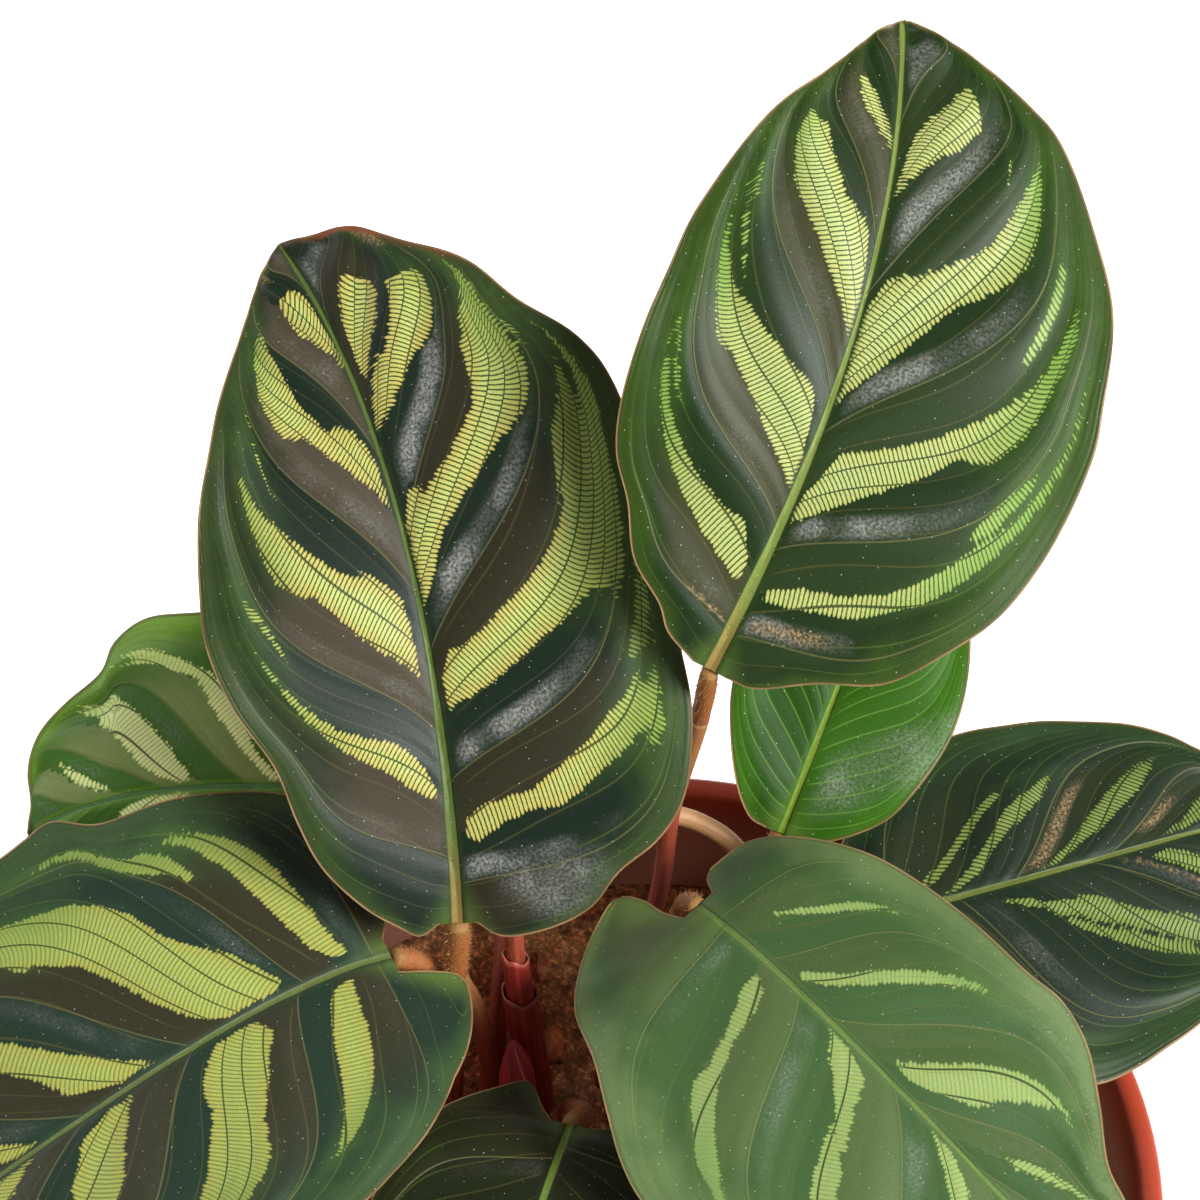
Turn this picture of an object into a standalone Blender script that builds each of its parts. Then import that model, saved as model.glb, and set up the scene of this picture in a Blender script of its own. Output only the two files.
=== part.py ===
"""A peacock plant in a small plastic nursery pot.

Sizes are in millimetres and become metres where a mesh is made. +Z is up, -Y faces the viewer,
and the origin is the centre of the pot's underside.
"""

import math

import bmesh
import bpy
import numpy as np
from mathutils import Matrix

MM = 0.001

# Two pieces that touch keep this much air between them
GAP = 0.3
HOLE_GAP = 0.5

# Pot: a turned plastic shell with a thick rim band and a flat underside
POT_HEIGHT = 105.0
RIM_RADIUS = 60.0
LIP_WIDTH = 2.8
BAND_HEIGHT = 15.0
BAND_STEP = 1.8
BASE_RADIUS = 42.0
BASE_BEVEL = 1.5
WALL = 1.2
FLOOR = 1.6
EDGE_ROUND = 0.7
POT_STEPS = 48

DRAIN_HOLES = 6
DRAIN_RADIUS = 3.5
DRAIN_CIRCLE = 29.0
DRAIN_SIDES = 16
DRAIN_TURN = 1 / 16

# Soil: its surface stands a little below the rim, highest in the middle
SOIL_EDGE = 86.5
SOIL_CROWN = 89.0
SOIL_RINGS = 13
SOIL_STEPS = 54
LUMP_HEIGHT = 0.8
LUMP_WAVES = 24
LUMP_PITCH = (7.0, 16.0)
LUMP_SEED = 11
HOLE_BOTTOM = 75.5
HOLE_TOP = 96.0
HOLE_SIDES = 12
HOLE_TURN = 0.12

# Stems
ROOT_END = 76.0
SOIL_LINE = 90.0
STEM_PITCH = 3.6
PULVINUS_POINTS = 5
COURSE_POINTS = 400
TUBE_ROUNDNESS = 2

# Blades: the two margins are each read at a number of points, and the outline is cut by a grid
BLADE_THICKNESS = 0.8
MARGIN_POINTS = 26
GRID_ACROSS = 5.2
GRID_ALONG = 4.6
LEAST_EDGE = 0.6
QUILT_HEIGHT = 0.45
QUILT_PITCH = 13.0
CURL = 0.004
SPLINE_STEPS = 16
MIDRIB_STEPS = 120

# A lateral vein climbs steeply from the midrib, spreads, and turns up again along the margin. These
# are the shares and powers of the three stretches, and the power that gathers the veins at the tip.
VEIN_START = (0.12, 9)
VEIN_SPREAD = 0.42
VEIN_END = (0.46, 7)
VEIN_GATHER = 8

# Each leaf has the course of its midrib, the way its face looks at its base and tip, the fold of its
# left and right halves in degrees, the height of its edge waves, how many of them there are, and its
# margins from base to tip as distances out from and along the midrib. Its stalk runs from the soil
# line to the pulvinus, the swollen joint, which starts so far aside, back and down from the base. The
# radii are those of the petiole and of the pulvinus.
LEAVES = {
    "tall_left": {
        "midrib": ((-22, 24, 125), (-23, 39, 148), (-28, 65, 167), (-43, 89, 170)),
        "faces": ((0.10, -0.62, 0.78), (0.0, -0.45, 0.9)),
        "fold": (8, 18),
        "wave": (0.8, 1.1),
        "waves": 2.6,
        "left": ((2.3, 0), (4.5, -1.3), (7.1, 0.2), (11.1, 3.2), (15.5, 8.4), (17.9, 14.3),
                 (19.8, 21.5), (23.4, 29.1), (25.2, 36.7), (24.9, 43.4), (22.7, 54), (18.9, 62.5),
                 (14.7, 69.9), (8.5, 77.6), (3.8, 82.6), (0, 85)),
        "right": ((2.3, 0), (5.3, -1.7), (10.9, -0.6), (16.1, 2), (19.6, 5.9), (24.6, 9.3),
                  (28.1, 13.6), (29.9, 20), (30.2, 24), (29.8, 30), (29.7, 42), (29.4, 54),
                  (27.1, 60), (21.9, 65.5), (18.2, 71.3), (12.6, 76.4), (8.4, 81), (4.4, 82.9),
                  (0, 85)),
        "stalk": ((-19, 20, 90), (-18.8, 21.8, 99), (-20.3, 23.8, 107.5)),
        "pulvinus": (0, 8.5, 5.3),
        "radii": (1.25, 1.5),
    },
    "tall_right": {
        "midrib": ((7, 38, 155), (18, 51, 173), (29, 70, 190), (29, 99, 197)),
        "faces": ((0.0, -0.62, 0.78), (0.10, -0.5, 0.85)),
        "fold": (8, 8),
        "wave": (0.9, 1.0),
        "waves": 2.3,
        "left": ((2.3, 0), (6.3, 1.8), (8.7, 4.4), (13.6, 7.9), (17, 13.6), (20.6, 18.7), (22.5, 25.5),
                 (23.1, 34.1), (22.5, 41.7), (21.3, 50.3), (18, 59.5), (14, 66.5), (8.8, 71.9),
                 (2.8, 78.2), (0, 79.7)),
        "right": ((2.3, 0), (5.7, 0.5), (11.6, 4.3), (18.3, 7.5), (22.8, 12.7), (27.1, 19.3),
                  (29.4, 27.3), (30.2, 36.7), (29.4, 42.3), (27.9, 50.7), (24.3, 57.9), (19.1, 66.3),
                  (14.8, 70.2), (7, 76), (2, 79.2), (0, 79.7)),
        "stalk": ((-5, 25.5, 90), (-4.4, 26.9, 94.2), (-1.8, 31.5, 101.5), (1.6, 38, 111), (3, 42.5, 122)),
        "pulvinus": (1.9, 9.05, 12.1),
        "radii": (1.2, 1.15),
    },
    "young": {
        "midrib": ((16, 41, 119), (19, 46, 125), (25, 59, 134), (33, 77, 142)),
        "faces": ((0.0, -0.62, 0.78), (0.0, -0.5, 0.85)),
        "fold": (10, 10),
        "wave": (0.5, 0.6),
        "waves": 1.6,
        "left": ((2.1, 0), (4.4, 0.6), (7.2, 3.6), (10, 8.6), (12.1, 14.5), (13, 24), (12, 32), (8, 39),
                 (4, 43), (0, 46)),
        "right": ((2.1, 0), (6.2, 1.5), (11, 5.7), (13.1, 10.1), (14.7, 16.2), (14.8, 21.5),
                  (13.6, 27.1), (11.5, 32), (8, 38), (4, 43), (0, 46)),
        "stalk": ((-13.2, 22.5, 90), (-14.3, 23.5, 103), (-15.4, 25.2, 116), (-15.2, 27.2, 122.5),
                  (-11.5, 32, 124.5), (-4, 40.5, 120.5), (3, 45, 117), (8.6, 44.6, 114),
                  (12.4, 42.4, 111.3)),
        "pulvinus": (0, 5, 3),
        "radii": (1.2, 1.4),
    },
    "back_left": {
        "midrib": ((-26, 49, 115), (-42, 48, 119), (-64, 52, 117), (-75, 48, 108)),
        "faces": ((-0.1, -0.35, 0.93), (-0.3, -0.3, 0.9)),
        "fold": (-8, 6),
        "wave": (0.8, 1.2),
        "waves": 2.4,
        "left": ((2.3, 0), (6, -1), (12, 3), (17, 10), (20, 19), (20, 28), (17.5, 36), (12, 43),
                 (6, 48), (0, 51)),
        "right": ((2.3, 0), (6, -1), (12, 3), (18, 10), (21.5, 19), (21.8, 28), (22.3, 33.5),
                  (20.1, 36.8), (16.4, 38.5), (13.5, 42.2), (10.6, 45.5), (6.8, 47.6), (3, 48.6),
                  (0, 51)),
        "stalk": ((-18, 26, 90), (-17.6, 28.6, 101), (-16.8, 36, 107.5), (-17, 43.5, 109.5),
                  (-18.6, 48.5, 110)),
        "pulvinus": (0, 4.3, 2.5),
        "radii": (1.2, 1.4),
    },
    "back_right": {
        "midrib": ((24, 30, 116), (37, 31, 119), (62, 41, 118), (80, 51, 111)),
        "faces": ((0.1, -0.2, 0.97), (0.2, -0.2, 0.95)),
        "fold": (-2, 5),
        "wave": (0.9, 1.1),
        "waves": 2.2,
        "left": ((2.3, 0), (6, -1.5), (11, 1), (16, 7), (19.5, 14), (20.8, 20.2), (20, 27),
                 (19.1, 34.5), (16.8, 42.3), (13.5, 47.2), (10.1, 50.3), (6, 55), (0, 61)),
        "right": ((2.3, 0), (6, -1.5), (13, 0.5), (20, 6), (24.5, 13), (26.3, 21.1), (25.9, 26),
                  (24.9, 29.7), (23.4, 34.3), (19.5, 43), (13, 52), (5, 59), (0, 61)),
        "stalk": ((0.5, 28, 90), (3, 29, 100), (8.5, 30, 107.5), (14, 30.3, 110.8)),
        "pulvinus": (0, 5.2, 3),
        "radii": (1.2, 1.4),
    },
    "front_left": {
        "midrib": ((-30, 22.5, 120), (-44, 14.5, 126), (-67, -4.5, 124), (-95, -19.5, 110)),
        "faces": ((-0.05, -0.25, 0.96), (-0.15, -0.2, 0.96)),
        "fold": (8, 6),
        "wave": (1.0, 1.2),
        "waves": 2.5,
        "left": ((2.3, 0), (3.2, -4.7), (4.9, -7.7), (9.8, -6.4), (14.6, -3.1), (19, 2.1), (23.1, 8.9),
                 (25.6, 15.8), (27.5, 23), (28, 32), (26.5, 43), (22.5, 55), (16, 66), (8, 75),
                 (0, 80)),
        "right": ((2.3, 0), (4.5, -1.5), (9, -4), (16, -3.5), (23.6, 2.5), (27.1, 8.5), (29.1, 13.3),
                  (31, 20.4), (34.8, 24.5), (34.4, 28.5), (33.7, 32), (32, 42), (28, 52), (21, 63),
                  (12, 73), (5, 78), (0, 80)),
        "stalk": ((-23.4, 19.2, 90), (-22.9, 20.4, 98), (-23.6, 22.2, 108)),
        "pulvinus": (-1.4, 5.2, 2.2),
        "radii": (1.2, 1.4),
    },
    "front_right": {
        "midrib": ((6, 26, 125), (13, 17, 130), (35, -7, 126), (58, -27, 109)),
        "faces": ((0.05, -0.3, 0.95), (0.1, -0.25, 0.95)),
        "fold": (6, 6),
        "wave": (0.8, 1.1),
        "waves": 2.4,
        "left": ((2.3, 0), (3.6, -2.8), (5.5, -3.2), (10.4, -1.9), (14.4, 3.3), (18.1, 10.5),
                 (19.8, 17.6), (20.4, 25), (20.6, 33.4), (21.4, 38.8), (19.9, 44.6), (16, 50.4),
                 (11.7, 55.8), (10.1, 60.2), (8, 65), (4.8, 71), (0, 77)),
        "right": ((2.3, 0), (3, -3.2), (3.1, -7), (4.6, -10.2), (7.9, -9.4), (14.1, -5.5), (19.4, -0.2),
                  (22.7, 7.2), (26.2, 13.2), (29.2, 18.9), (30.6, 25), (31, 38), (27, 52), (19, 64),
                  (10, 73), (0, 77)),
        "stalk": ((-3.5, 20, 90), (-1.5, 22.5, 101), (1.6, 27, 111.5)),
        "pulvinus": (0, 5.2, 3),
        "radii": (1.2, 1.4),
    },
    "front_middle": {
        "midrib": ((-9, 5.2, 110.5), (-11, -4.8, 116.5), (-17, -24.8, 115.5), (-23, -47.8, 109.5)),
        "faces": ((0.0, -0.3, 0.95), (0.0, -0.35, 0.93)),
        "fold": (6, 2),
        "wave": (0.9, 0.9),
        "waves": 2.2,
        "left": ((2.3, 0), (4.2, -0.6), (8, -2), (12, -1.2), (16, 3.5), (19, 10), (20, 18), (18.5, 29),
                 (15, 39), (9, 49), (0, 56)),
        "right": ((2.3, 0), (3.8, -3.2), (5.2, -6.6), (6.9, -8), (9.7, -4.9), (13.2, -0.2), (15.5, 5),
                  (18, 14), (19, 22), (18, 31), (15, 40), (10, 48), (0, 56)),
        "stalk": ((-9.5, 16, 90), (-9.2, 15.6, 98)),
        "pulvinus": (-1, 5.3, 0.8),
        "radii": (1.2, 1.4),
    },
}

# The young leaf's stalk comes out of two sheaths, each with the height of its mouth and its radius
SHEATHS = {
    "inner_sheath": {"from": 76.0, "mouth": 117.0, "inside": 1.8, "radius": 2.2},
    "outer_sheath": {"from": 76.0, "mouth": 111.0, "inside": 2.6, "radius": 3.0},
}
SHEATH_RINGS = 9
SHEATH_SIDES = 12

# New shoot: a rolled leaf, round and pointed
SHOOT_COURSE = ((-14.9, 15.4, 76), (-14.9, 15.5, 90), (-15.1, 16.5, 96), (-15.3, 18, 103), (-15.7, 19.2, 107.5))
SHOOT_RADII = (2.0, 2.1, 2.2, 1.7, 0.35)
SHOOT_POINTS = 12

COLOURS = {
    "Terracotta plastic": (0.42, 0.10, 0.05),
    "Potting mix": (0.10, 0.045, 0.02),
    "Leaf green": (0.03, 0.11, 0.03),
    "Young leaf green": (0.05, 0.20, 0.02),
    "Tan pulvinus": (0.36, 0.20, 0.07),
    "Red petiole": (0.11, 0.02, 0.012),
    "Crimson shoot": (0.25, 0.02, 0.03),
}


def clear_scene():
    for item in list(bpy.data.objects):
        bpy.data.objects.remove(item, do_unlink=True)


def new_collection(name):
    collection = bpy.data.collections.new(name)
    bpy.context.scene.collection.children.link(collection)
    return collection


def material(name, roughness=0.5):
    finish = bpy.data.materials.get(name)
    if finish is None:
        finish = bpy.data.materials.new(name)
        finish.use_nodes = True
        shader = finish.node_tree.nodes["Principled BSDF"]
        shader.inputs["Base Color"].default_value = (*COLOURS[name], 1)
        shader.inputs["Roughness"].default_value = roughness
        shader.inputs["Metallic"].default_value = 0
    return finish


def add_object(name, data, collection, finish=None, place=(0, 0, 0)):
    item = bpy.data.objects.new(name, data)
    item.location = [value * MM for value in place]
    collection.objects.link(item)
    if finish is not None:
        data.materials.append(finish)
    return item


def turned(name, profile, steps, collection, finish):
    """A profile of (radius, height) points, turned round the Z axis."""
    mesh = bpy.data.meshes.new(name)
    points = [(radius * MM, 0, height * MM) for radius, height in profile]
    edges = [(index, index + 1) for index in range(len(points) - 1)]
    mesh.from_pydata(points, edges, [])
    item = add_object(name, mesh, collection, finish)
    screw = item.modifiers.new("Turn", "SCREW")
    screw.steps = steps
    screw.render_steps = steps
    screw.use_merge_vertices = True
    screw.merge_threshold = 0.0001
    return item


def upright_cutter(name, holes, sides, collection, turn=0.0):
    """Vertical cylinders in one mesh. A hole is (x, y, radius, bottom, top)."""
    shape = bmesh.new()
    for x, y, radius, bottom, top in holes:
        made = bmesh.ops.create_cone(
            shape, cap_ends=True, segments=sides, radius1=radius * MM, radius2=radius * MM,
            depth=(top - bottom) * MM)
        bmesh.ops.rotate(shape, verts=made["verts"], matrix=Matrix.Rotation(turn, 3, "Z"))
        middle = (x * MM, y * MM, (top + bottom) / 2 * MM)
        bmesh.ops.translate(shape, verts=made["verts"], vec=middle)
    mesh = bpy.data.meshes.new(name)
    shape.to_mesh(mesh)
    shape.free()
    cutter = add_object(name, mesh, collection)
    cutter.hide_render = True
    cutter.display_type = "WIRE"
    return cutter


def cut(item, cutter):
    boolean = item.modifiers.new(cutter.name, "BOOLEAN")
    boolean.operation = "DIFFERENCE"
    boolean.object = cutter


def inner_wall(height):
    """The pot's inner radius at a height."""
    below_band = POT_HEIGHT - BAND_HEIGHT
    top = RIM_RADIUS - BAND_STEP - WALL
    return BASE_RADIUS - WALL + (top - BASE_RADIUS + WALL) * min(height / below_band, 1)


def make_pot(parts, cutters):
    band = POT_HEIGHT - BAND_HEIGHT
    lip = RIM_RADIUS - LIP_WIDTH
    profile = [
        (0, FLOOR),
        (inner_wall(FLOOR), FLOOR),
        (inner_wall(band), band),
        (lip, POT_HEIGHT - EDGE_ROUND),
        (lip + EDGE_ROUND, POT_HEIGHT),
        (RIM_RADIUS - EDGE_ROUND, POT_HEIGHT),
        (RIM_RADIUS, POT_HEIGHT - EDGE_ROUND),
        (RIM_RADIUS, band + EDGE_ROUND),
        (RIM_RADIUS - EDGE_ROUND, band),
        (RIM_RADIUS - BAND_STEP, band - EDGE_ROUND),
        (BASE_RADIUS, BASE_BEVEL),
        (BASE_RADIUS - BASE_BEVEL, 0),
        (0, 0),
    ]
    pot = turned("pot", profile, POT_STEPS, parts, material("Terracotta plastic"))
    holes = []
    for index in range(DRAIN_HOLES):
        angle = 2 * math.pi * (index + DRAIN_TURN) / DRAIN_HOLES
        x = DRAIN_CIRCLE * math.cos(angle)
        y = DRAIN_CIRCLE * math.sin(angle)
        holes.append((x, y, DRAIN_RADIUS, -FLOOR, 2 * FLOOR))
    cut(pot, upright_cutter("Drain holes", holes, DRAIN_SIDES, cutters))


def lumps(points):
    """The height of the soil's lumps: a seeded sum of waves that run in all directions."""
    chance = np.random.default_rng(LUMP_SEED)
    angles = chance.uniform(0, 2 * math.pi, LUMP_WAVES)
    pitches = chance.uniform(*LUMP_PITCH, LUMP_WAVES)
    phases = chance.uniform(0, 2 * math.pi, LUMP_WAVES)
    along = points[:, :1] * np.cos(angles) + points[:, 1:2] * np.sin(angles)
    return np.sin(2 * math.pi * along / pitches + phases).sum(axis=1) / math.sqrt(LUMP_WAVES)


def split_faces(mesh):
    shape = bmesh.new()
    shape.from_mesh(mesh)
    bmesh.ops.triangulate(shape, faces=shape.faces[:])
    shape.to_mesh(mesh)
    shape.free()


def make_soil(parts, cutters):
    edge = inner_wall(SOIL_EDGE) - GAP
    profile = []
    for ring in range(SOIL_RINGS):
        out = ring / (SOIL_RINGS - 1)
        profile.append((edge * out, SOIL_CROWN + (SOIL_EDGE - SOIL_CROWN) * out ** 2))
    bottom = FLOOR + GAP
    profile += [(inner_wall(bottom) - GAP, bottom), (0, bottom)]
    soil = turned("soil", profile, SOIL_STEPS, parts, material("Potting mix", 0.95))
    graph = bpy.context.evaluated_depsgraph_get()
    mesh = bpy.data.meshes.new_from_object(soil.evaluated_get(graph))
    soil.modifiers.clear()
    soil.data = mesh
    split_faces(mesh)
    points = np.array([vertex.co for vertex in mesh.vertices]) / MM
    radius = np.hypot(points[:, 0], points[:, 1])
    on_top = points[:, 2] > SOIL_EDGE - 1
    inside = np.clip((edge - radius) / 4, 0, 1) * on_top
    rise = LUMP_HEIGHT * lumps(points) * inside
    for vertex, height in zip(mesh.vertices, rise):
        vertex.co.z += height * MM
    holes = []
    for name, leaf in LEAVES.items():
        radius = SHEATHS["outer_sheath"]["radius"] if name == "young" else leaf["radii"][0]
        x, y, _ = leaf["stalk"][0]
        holes.append((x, y, radius + HOLE_GAP, HOLE_BOTTOM, HOLE_TOP))
    x, y, _ = SHOOT_COURSE[0]
    holes.append((x, y, max(SHOOT_RADII) + HOLE_GAP, HOLE_BOTTOM, HOLE_TOP))
    cut(soil, upright_cutter("Stem holes", holes, HOLE_SIDES, cutters, HOLE_TURN))
    soil.modifiers.new("Even triangles", "TRIANGULATE")


def bezier(corners, t):
    a, b, c, d = np.asarray(corners, float)
    t = np.asarray(t, float)[..., None]
    return (1 - t) ** 3 * a + 3 * t * (1 - t) ** 2 * b + 3 * t * t * (1 - t) * c + t ** 3 * d


def smooth_course(points, fractions):
    """A smooth curve through the points, read at fractions of its length."""
    knots = np.asarray(points, float)
    ends = np.vstack([2 * knots[0] - knots[1], knots, 2 * knots[-1] - knots[-2]])
    stretches = []
    t = np.linspace(0, 1, SPLINE_STEPS, endpoint=False)[:, None]
    for a, b, c, d in zip(ends, ends[1:], ends[2:], ends[3:]):
        line = 2 * b + (c - a) * t
        bend = (2 * a - 5 * b + 4 * c - d) * t ** 2 + (3 * b - a - 3 * c + d) * t ** 3
        stretches.append((line + bend) / 2)
    course = np.vstack([*stretches, knots[-1:]])
    steps = np.linalg.norm(np.diff(course, axis=0), axis=1)
    length = np.concatenate([[0], np.cumsum(steps)]) / steps.sum()
    return np.stack([np.interp(fractions, length, column) for column in course.T], axis=-1)


class Blade:
    """The curved face of one leaf, on which a point is so far out from the midrib and along it."""

    def __init__(self, leaf):
        self.leaf = leaf
        self.rib = bezier(leaf["midrib"], np.linspace(0, 1, MIDRIB_STEPS + 1))
        steps = np.linalg.norm(np.diff(self.rib, axis=0), axis=1)
        self.along = np.concatenate([[0], np.cumsum(steps)])
        self.length = self.along[-1]
        forward = np.gradient(self.rib, self.along, axis=0)
        self.forward = forward / np.linalg.norm(forward, axis=1)[:, None]
        base, tip = np.asarray(leaf["faces"], float)
        face = base + (tip - base) * (self.along / self.length)[:, None]
        side = np.cross(self.forward, face)
        self.side = side / np.linalg.norm(side, axis=1)[:, None]
        self.up = np.cross(self.side, self.forward)

    def margin(self, side, count):
        """One margin from the notch to the tip."""
        stretch = self.length / self.leaf[side][-1][1]
        hand = -1 if side == "left" else 1
        return smooth_course(self.leaf[side], np.linspace(0, 1, count)) * [hand, stretch]

    def across(self, out, along):
        """How far out a point is, as a share of the half's width there: 1 on the margin."""
        widths = []
        for side in ("left", "right"):
            edge = self.margin(side, 200)
            widest_lobe = np.argmin(edge[:100, 1])
            rising = edge[widest_lobe:]
            widths.append(np.interp(along, rising[:, 1], np.abs(rising[:, 0])))
        width = np.where(out < 0, *widths)
        return np.clip(np.abs(out) / np.maximum(width, 0.5), 0, 1)

    def vein(self, share, along):
        """Where the vein through a point leaves the midrib."""
        start = VEIN_START[0] * (1 - (1 - share) ** VEIN_START[1])
        climbed = start + VEIN_SPREAD * share + VEIN_END[0] * share ** VEIN_END[1]
        gathered = self.length * np.clip(along / self.length, 0, 1) ** VEIN_GATHER
        return along * (1 - climbed) + gathered * climbed

    def relief(self, out, along):
        """The waves of the margin and the soft quilting between the veins."""
        share = self.across(out, along)
        progress = np.clip(along / self.length, 0, 1)
        height = np.where(out < 0, *self.leaf["wave"])
        turn = 2 * math.pi * (self.leaf["waves"] * progress + 0.3 * (out < 0))
        wave = height * share ** 3 * np.sin(turn) * np.sin(math.pi * progress)
        ridges = np.sin(2 * math.pi * self.vein(share, along) / QUILT_PITCH)
        return wave + QUILT_HEIGHT * ridges * np.sin(math.pi * share)

    def surface(self, out, along):
        """The point of the blade that lies so far out from the midrib and along it."""
        read = [
            np.stack([np.interp(along, self.along, column) for column in rows.T], axis=-1)
            for rows in (self.rib, self.forward, self.side, self.up)
        ]
        rib, forward, side, up = read
        beyond = np.minimum(along, 0) + np.maximum(along - self.length, 0)
        fold = np.radians(np.where(out < 0, *self.leaf["fold"]))
        lift = np.abs(out) * np.sin(fold) - CURL * out ** 2 + self.relief(out, along)
        sideways = side * (out * np.cos(fold))[..., None]
        return rib + forward * beyond[..., None] + sideways + up * lift[..., None]


def slice_flat(shape, axis, pitch, low, high):
    """Cut the flat faces along lines a pitch apart, with one line through zero."""
    normal = [0, 0, 0]
    normal[axis] = 1
    for step in range(math.ceil(low / pitch), math.floor(high / pitch) + 1):
        place = [0, 0, 0]
        place[axis] = step * pitch
        everything = shape.verts[:] + shape.edges[:] + shape.faces[:]
        bmesh.ops.bisect_plane(shape, geom=everything, dist=0.02, plane_co=place, plane_no=normal)


def make_blade(name, leaf, parts, finish):
    blade = Blade(leaf)
    left = blade.margin("left", MARGIN_POINTS)
    right = blade.margin("right", MARGIN_POINTS)
    outline = np.vstack([right, left[-2::-1]])
    shape = bmesh.new()
    bmesh.ops.create_circle(shape, cap_ends=True, radius=1, segments=len(outline))
    shape.verts.ensure_lookup_table()
    for vertex, (out, along) in zip(shape.verts, outline):
        vertex.co = (out, along, 0)
    slice_flat(shape, 0, GRID_ACROSS, outline[:, 0].min(), outline[:, 0].max())
    slice_flat(shape, 1, GRID_ALONG, outline[:, 1].min(), outline[:, 1].max())
    bmesh.ops.remove_doubles(shape, verts=shape.verts[:], dist=LEAST_EDGE)
    bmesh.ops.triangulate(shape, faces=shape.faces[:])
    flat = np.array([vertex.co for vertex in shape.verts], float)
    base = np.array(leaf["midrib"][0], float)
    for vertex, point in zip(shape.verts, blade.surface(flat[:, 0], flat[:, 1]) - base):
        vertex.co = point * MM
    bmesh.ops.recalc_face_normals(shape, faces=shape.faces[:])
    mesh = bpy.data.meshes.new(name)
    shape.to_mesh(mesh)
    shape.free()
    mesh.shade_smooth()
    item = add_object(f"{name}_blade", mesh, parts, finish, base)
    shell = item.modifiers.new("Thickness", "SOLIDIFY")
    shell.thickness = BLADE_THICKNESS * MM
    shell.offset = 0


def make_tube(name, points, radii, parts, finish):
    """A round stem along points, with a radius at each."""
    curve = bpy.data.curves.new(name, "CURVE")
    curve.dimensions = "3D"
    curve.bevel_depth = MM
    curve.bevel_resolution = TUBE_ROUNDNESS
    curve.use_fill_caps = True
    base = np.asarray(points[0], float)
    spline = curve.splines.new("POLY")
    spline.points.add(len(points) - 1)
    for knot, point, radius in zip(spline.points, points, radii):
        knot.co = (*((point - base) * MM), 1)
        knot.radius = radius
    add_object(name, curve, parts, finish, base)


def make_stalk(name, leaf, parts):
    """A petiole from its hole in the soil, and the pulvinus that joins it to the blade."""
    blade = Blade(leaf)
    base = blade.rib[0]
    aside, back, down = leaf["pulvinus"]
    thin, thick = leaf["radii"]
    joint = base + blade.side[0] * aside - blade.forward[0] * back - blade.up[0] * down
    root = (*leaf["stalk"][0][:2], ROOT_END)
    knots = (root, *leaf["stalk"], joint, base)
    course = smooth_course(knots, np.linspace(0, 1, COURSE_POINTS))
    steps = np.linalg.norm(np.diff(course, axis=0), axis=1)
    length = np.concatenate([[0], np.cumsum(steps)])
    split = length[np.argmin(np.linalg.norm(course - joint, axis=1))]
    arrives = (course[-1] - course[-5]) / np.linalg.norm(course[-1] - course[-5])
    end = length[-1] - GAP - BLADE_THICKNESS / 2 * abs(arrives @ blade.up[0])
    end -= thick * abs(arrives @ blade.side[0])

    def read(start, stop, count):
        closer_at_the_ends = (1 - np.cos(np.linspace(0, math.pi, count))) / 2
        places = start + (stop - start) * closer_at_the_ends
        return np.stack([np.interp(places, length, column) for column in course.T], axis=-1)

    count = round(split / STEM_PITCH) + 2
    petiole = read(0, split, count)
    make_tube(f"{name}_petiole", petiole, [thin] * count, parts, material("Red petiole"))
    swelling = np.sin(math.pi * np.linspace(0, 1, PULVINUS_POINTS))
    radii = thick * (0.9 + 0.1 * swelling)
    pulvinus = read(split + 1.8 * GAP, end, PULVINUS_POINTS)
    make_tube(f"{name}_pulvinus", pulvinus, radii, parts, material("Tan pulvinus"))


def make_sheaths(parts):
    """Two tubes round the young leaf's stalk, each open at its mouth and cut off slanting."""
    leaf = LEAVES["young"]
    root = (*leaf["stalk"][0][:2], ROOT_END)
    course = smooth_course((root, *leaf["stalk"]), np.linspace(0, 1, 200))
    for name, sheath in SHEATHS.items():
        inside = course[:np.argmax(course[:, 2] > sheath["mouth"])]
        points = smooth_course(inside, np.linspace(0, 1, SHEATH_RINGS))
        shape = bmesh.new()
        bmesh.ops.create_cone(shape, segments=SHEATH_SIDES, radius1=1, radius2=1, depth=2)
        bmesh.ops.subdivide_edges(
            shape, edges=[edge for edge in shape.edges if abs(edge.verts[0].co.z - edge.verts[1].co.z) > 1],
            cuts=SHEATH_RINGS - 2, use_grid_fill=True)
        middle = (sheath["inside"] + sheath["radius"]) / 2
        for vertex in shape.verts:
            ring = round((vertex.co.z + 1) / 2 * (SHEATH_RINGS - 1))
            place = points[ring] + np.array([vertex.co.x, vertex.co.y, 0]) * middle
            vertex.co = place * MM
        mesh = bpy.data.meshes.new(name)
        shape.to_mesh(mesh)
        shape.free()
        mesh.shade_smooth()
        item = add_object(name, mesh, parts, material("Red petiole"))
        shell = item.modifiers.new("Thickness", "SOLIDIFY")
        shell.thickness = (sheath["radius"] - sheath["inside"]) * MM
        shell.offset = 0


def make_shoot(parts):
    fractions = np.linspace(0, 1, SHOOT_POINTS)
    points = smooth_course(SHOOT_COURSE, fractions)
    radii = np.interp(fractions, np.linspace(0, 1, len(SHOOT_RADII)), SHOOT_RADII)
    make_tube("new_shoot", points, radii, parts, material("Crimson shoot"))


def main():
    clear_scene()
    parts = new_collection("Potted peacock plant")
    cutters = new_collection("Cutters")
    make_pot(parts, cutters)
    make_soil(parts, cutters)
    for name, leaf in LEAVES.items():
        green = "Young leaf green" if name == "young" else "Leaf green"
        make_blade(name, leaf, parts, material(green))
        make_stalk(name, leaf, parts)
    make_sheaths(parts)
    make_shoot(parts)


main()
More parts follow.
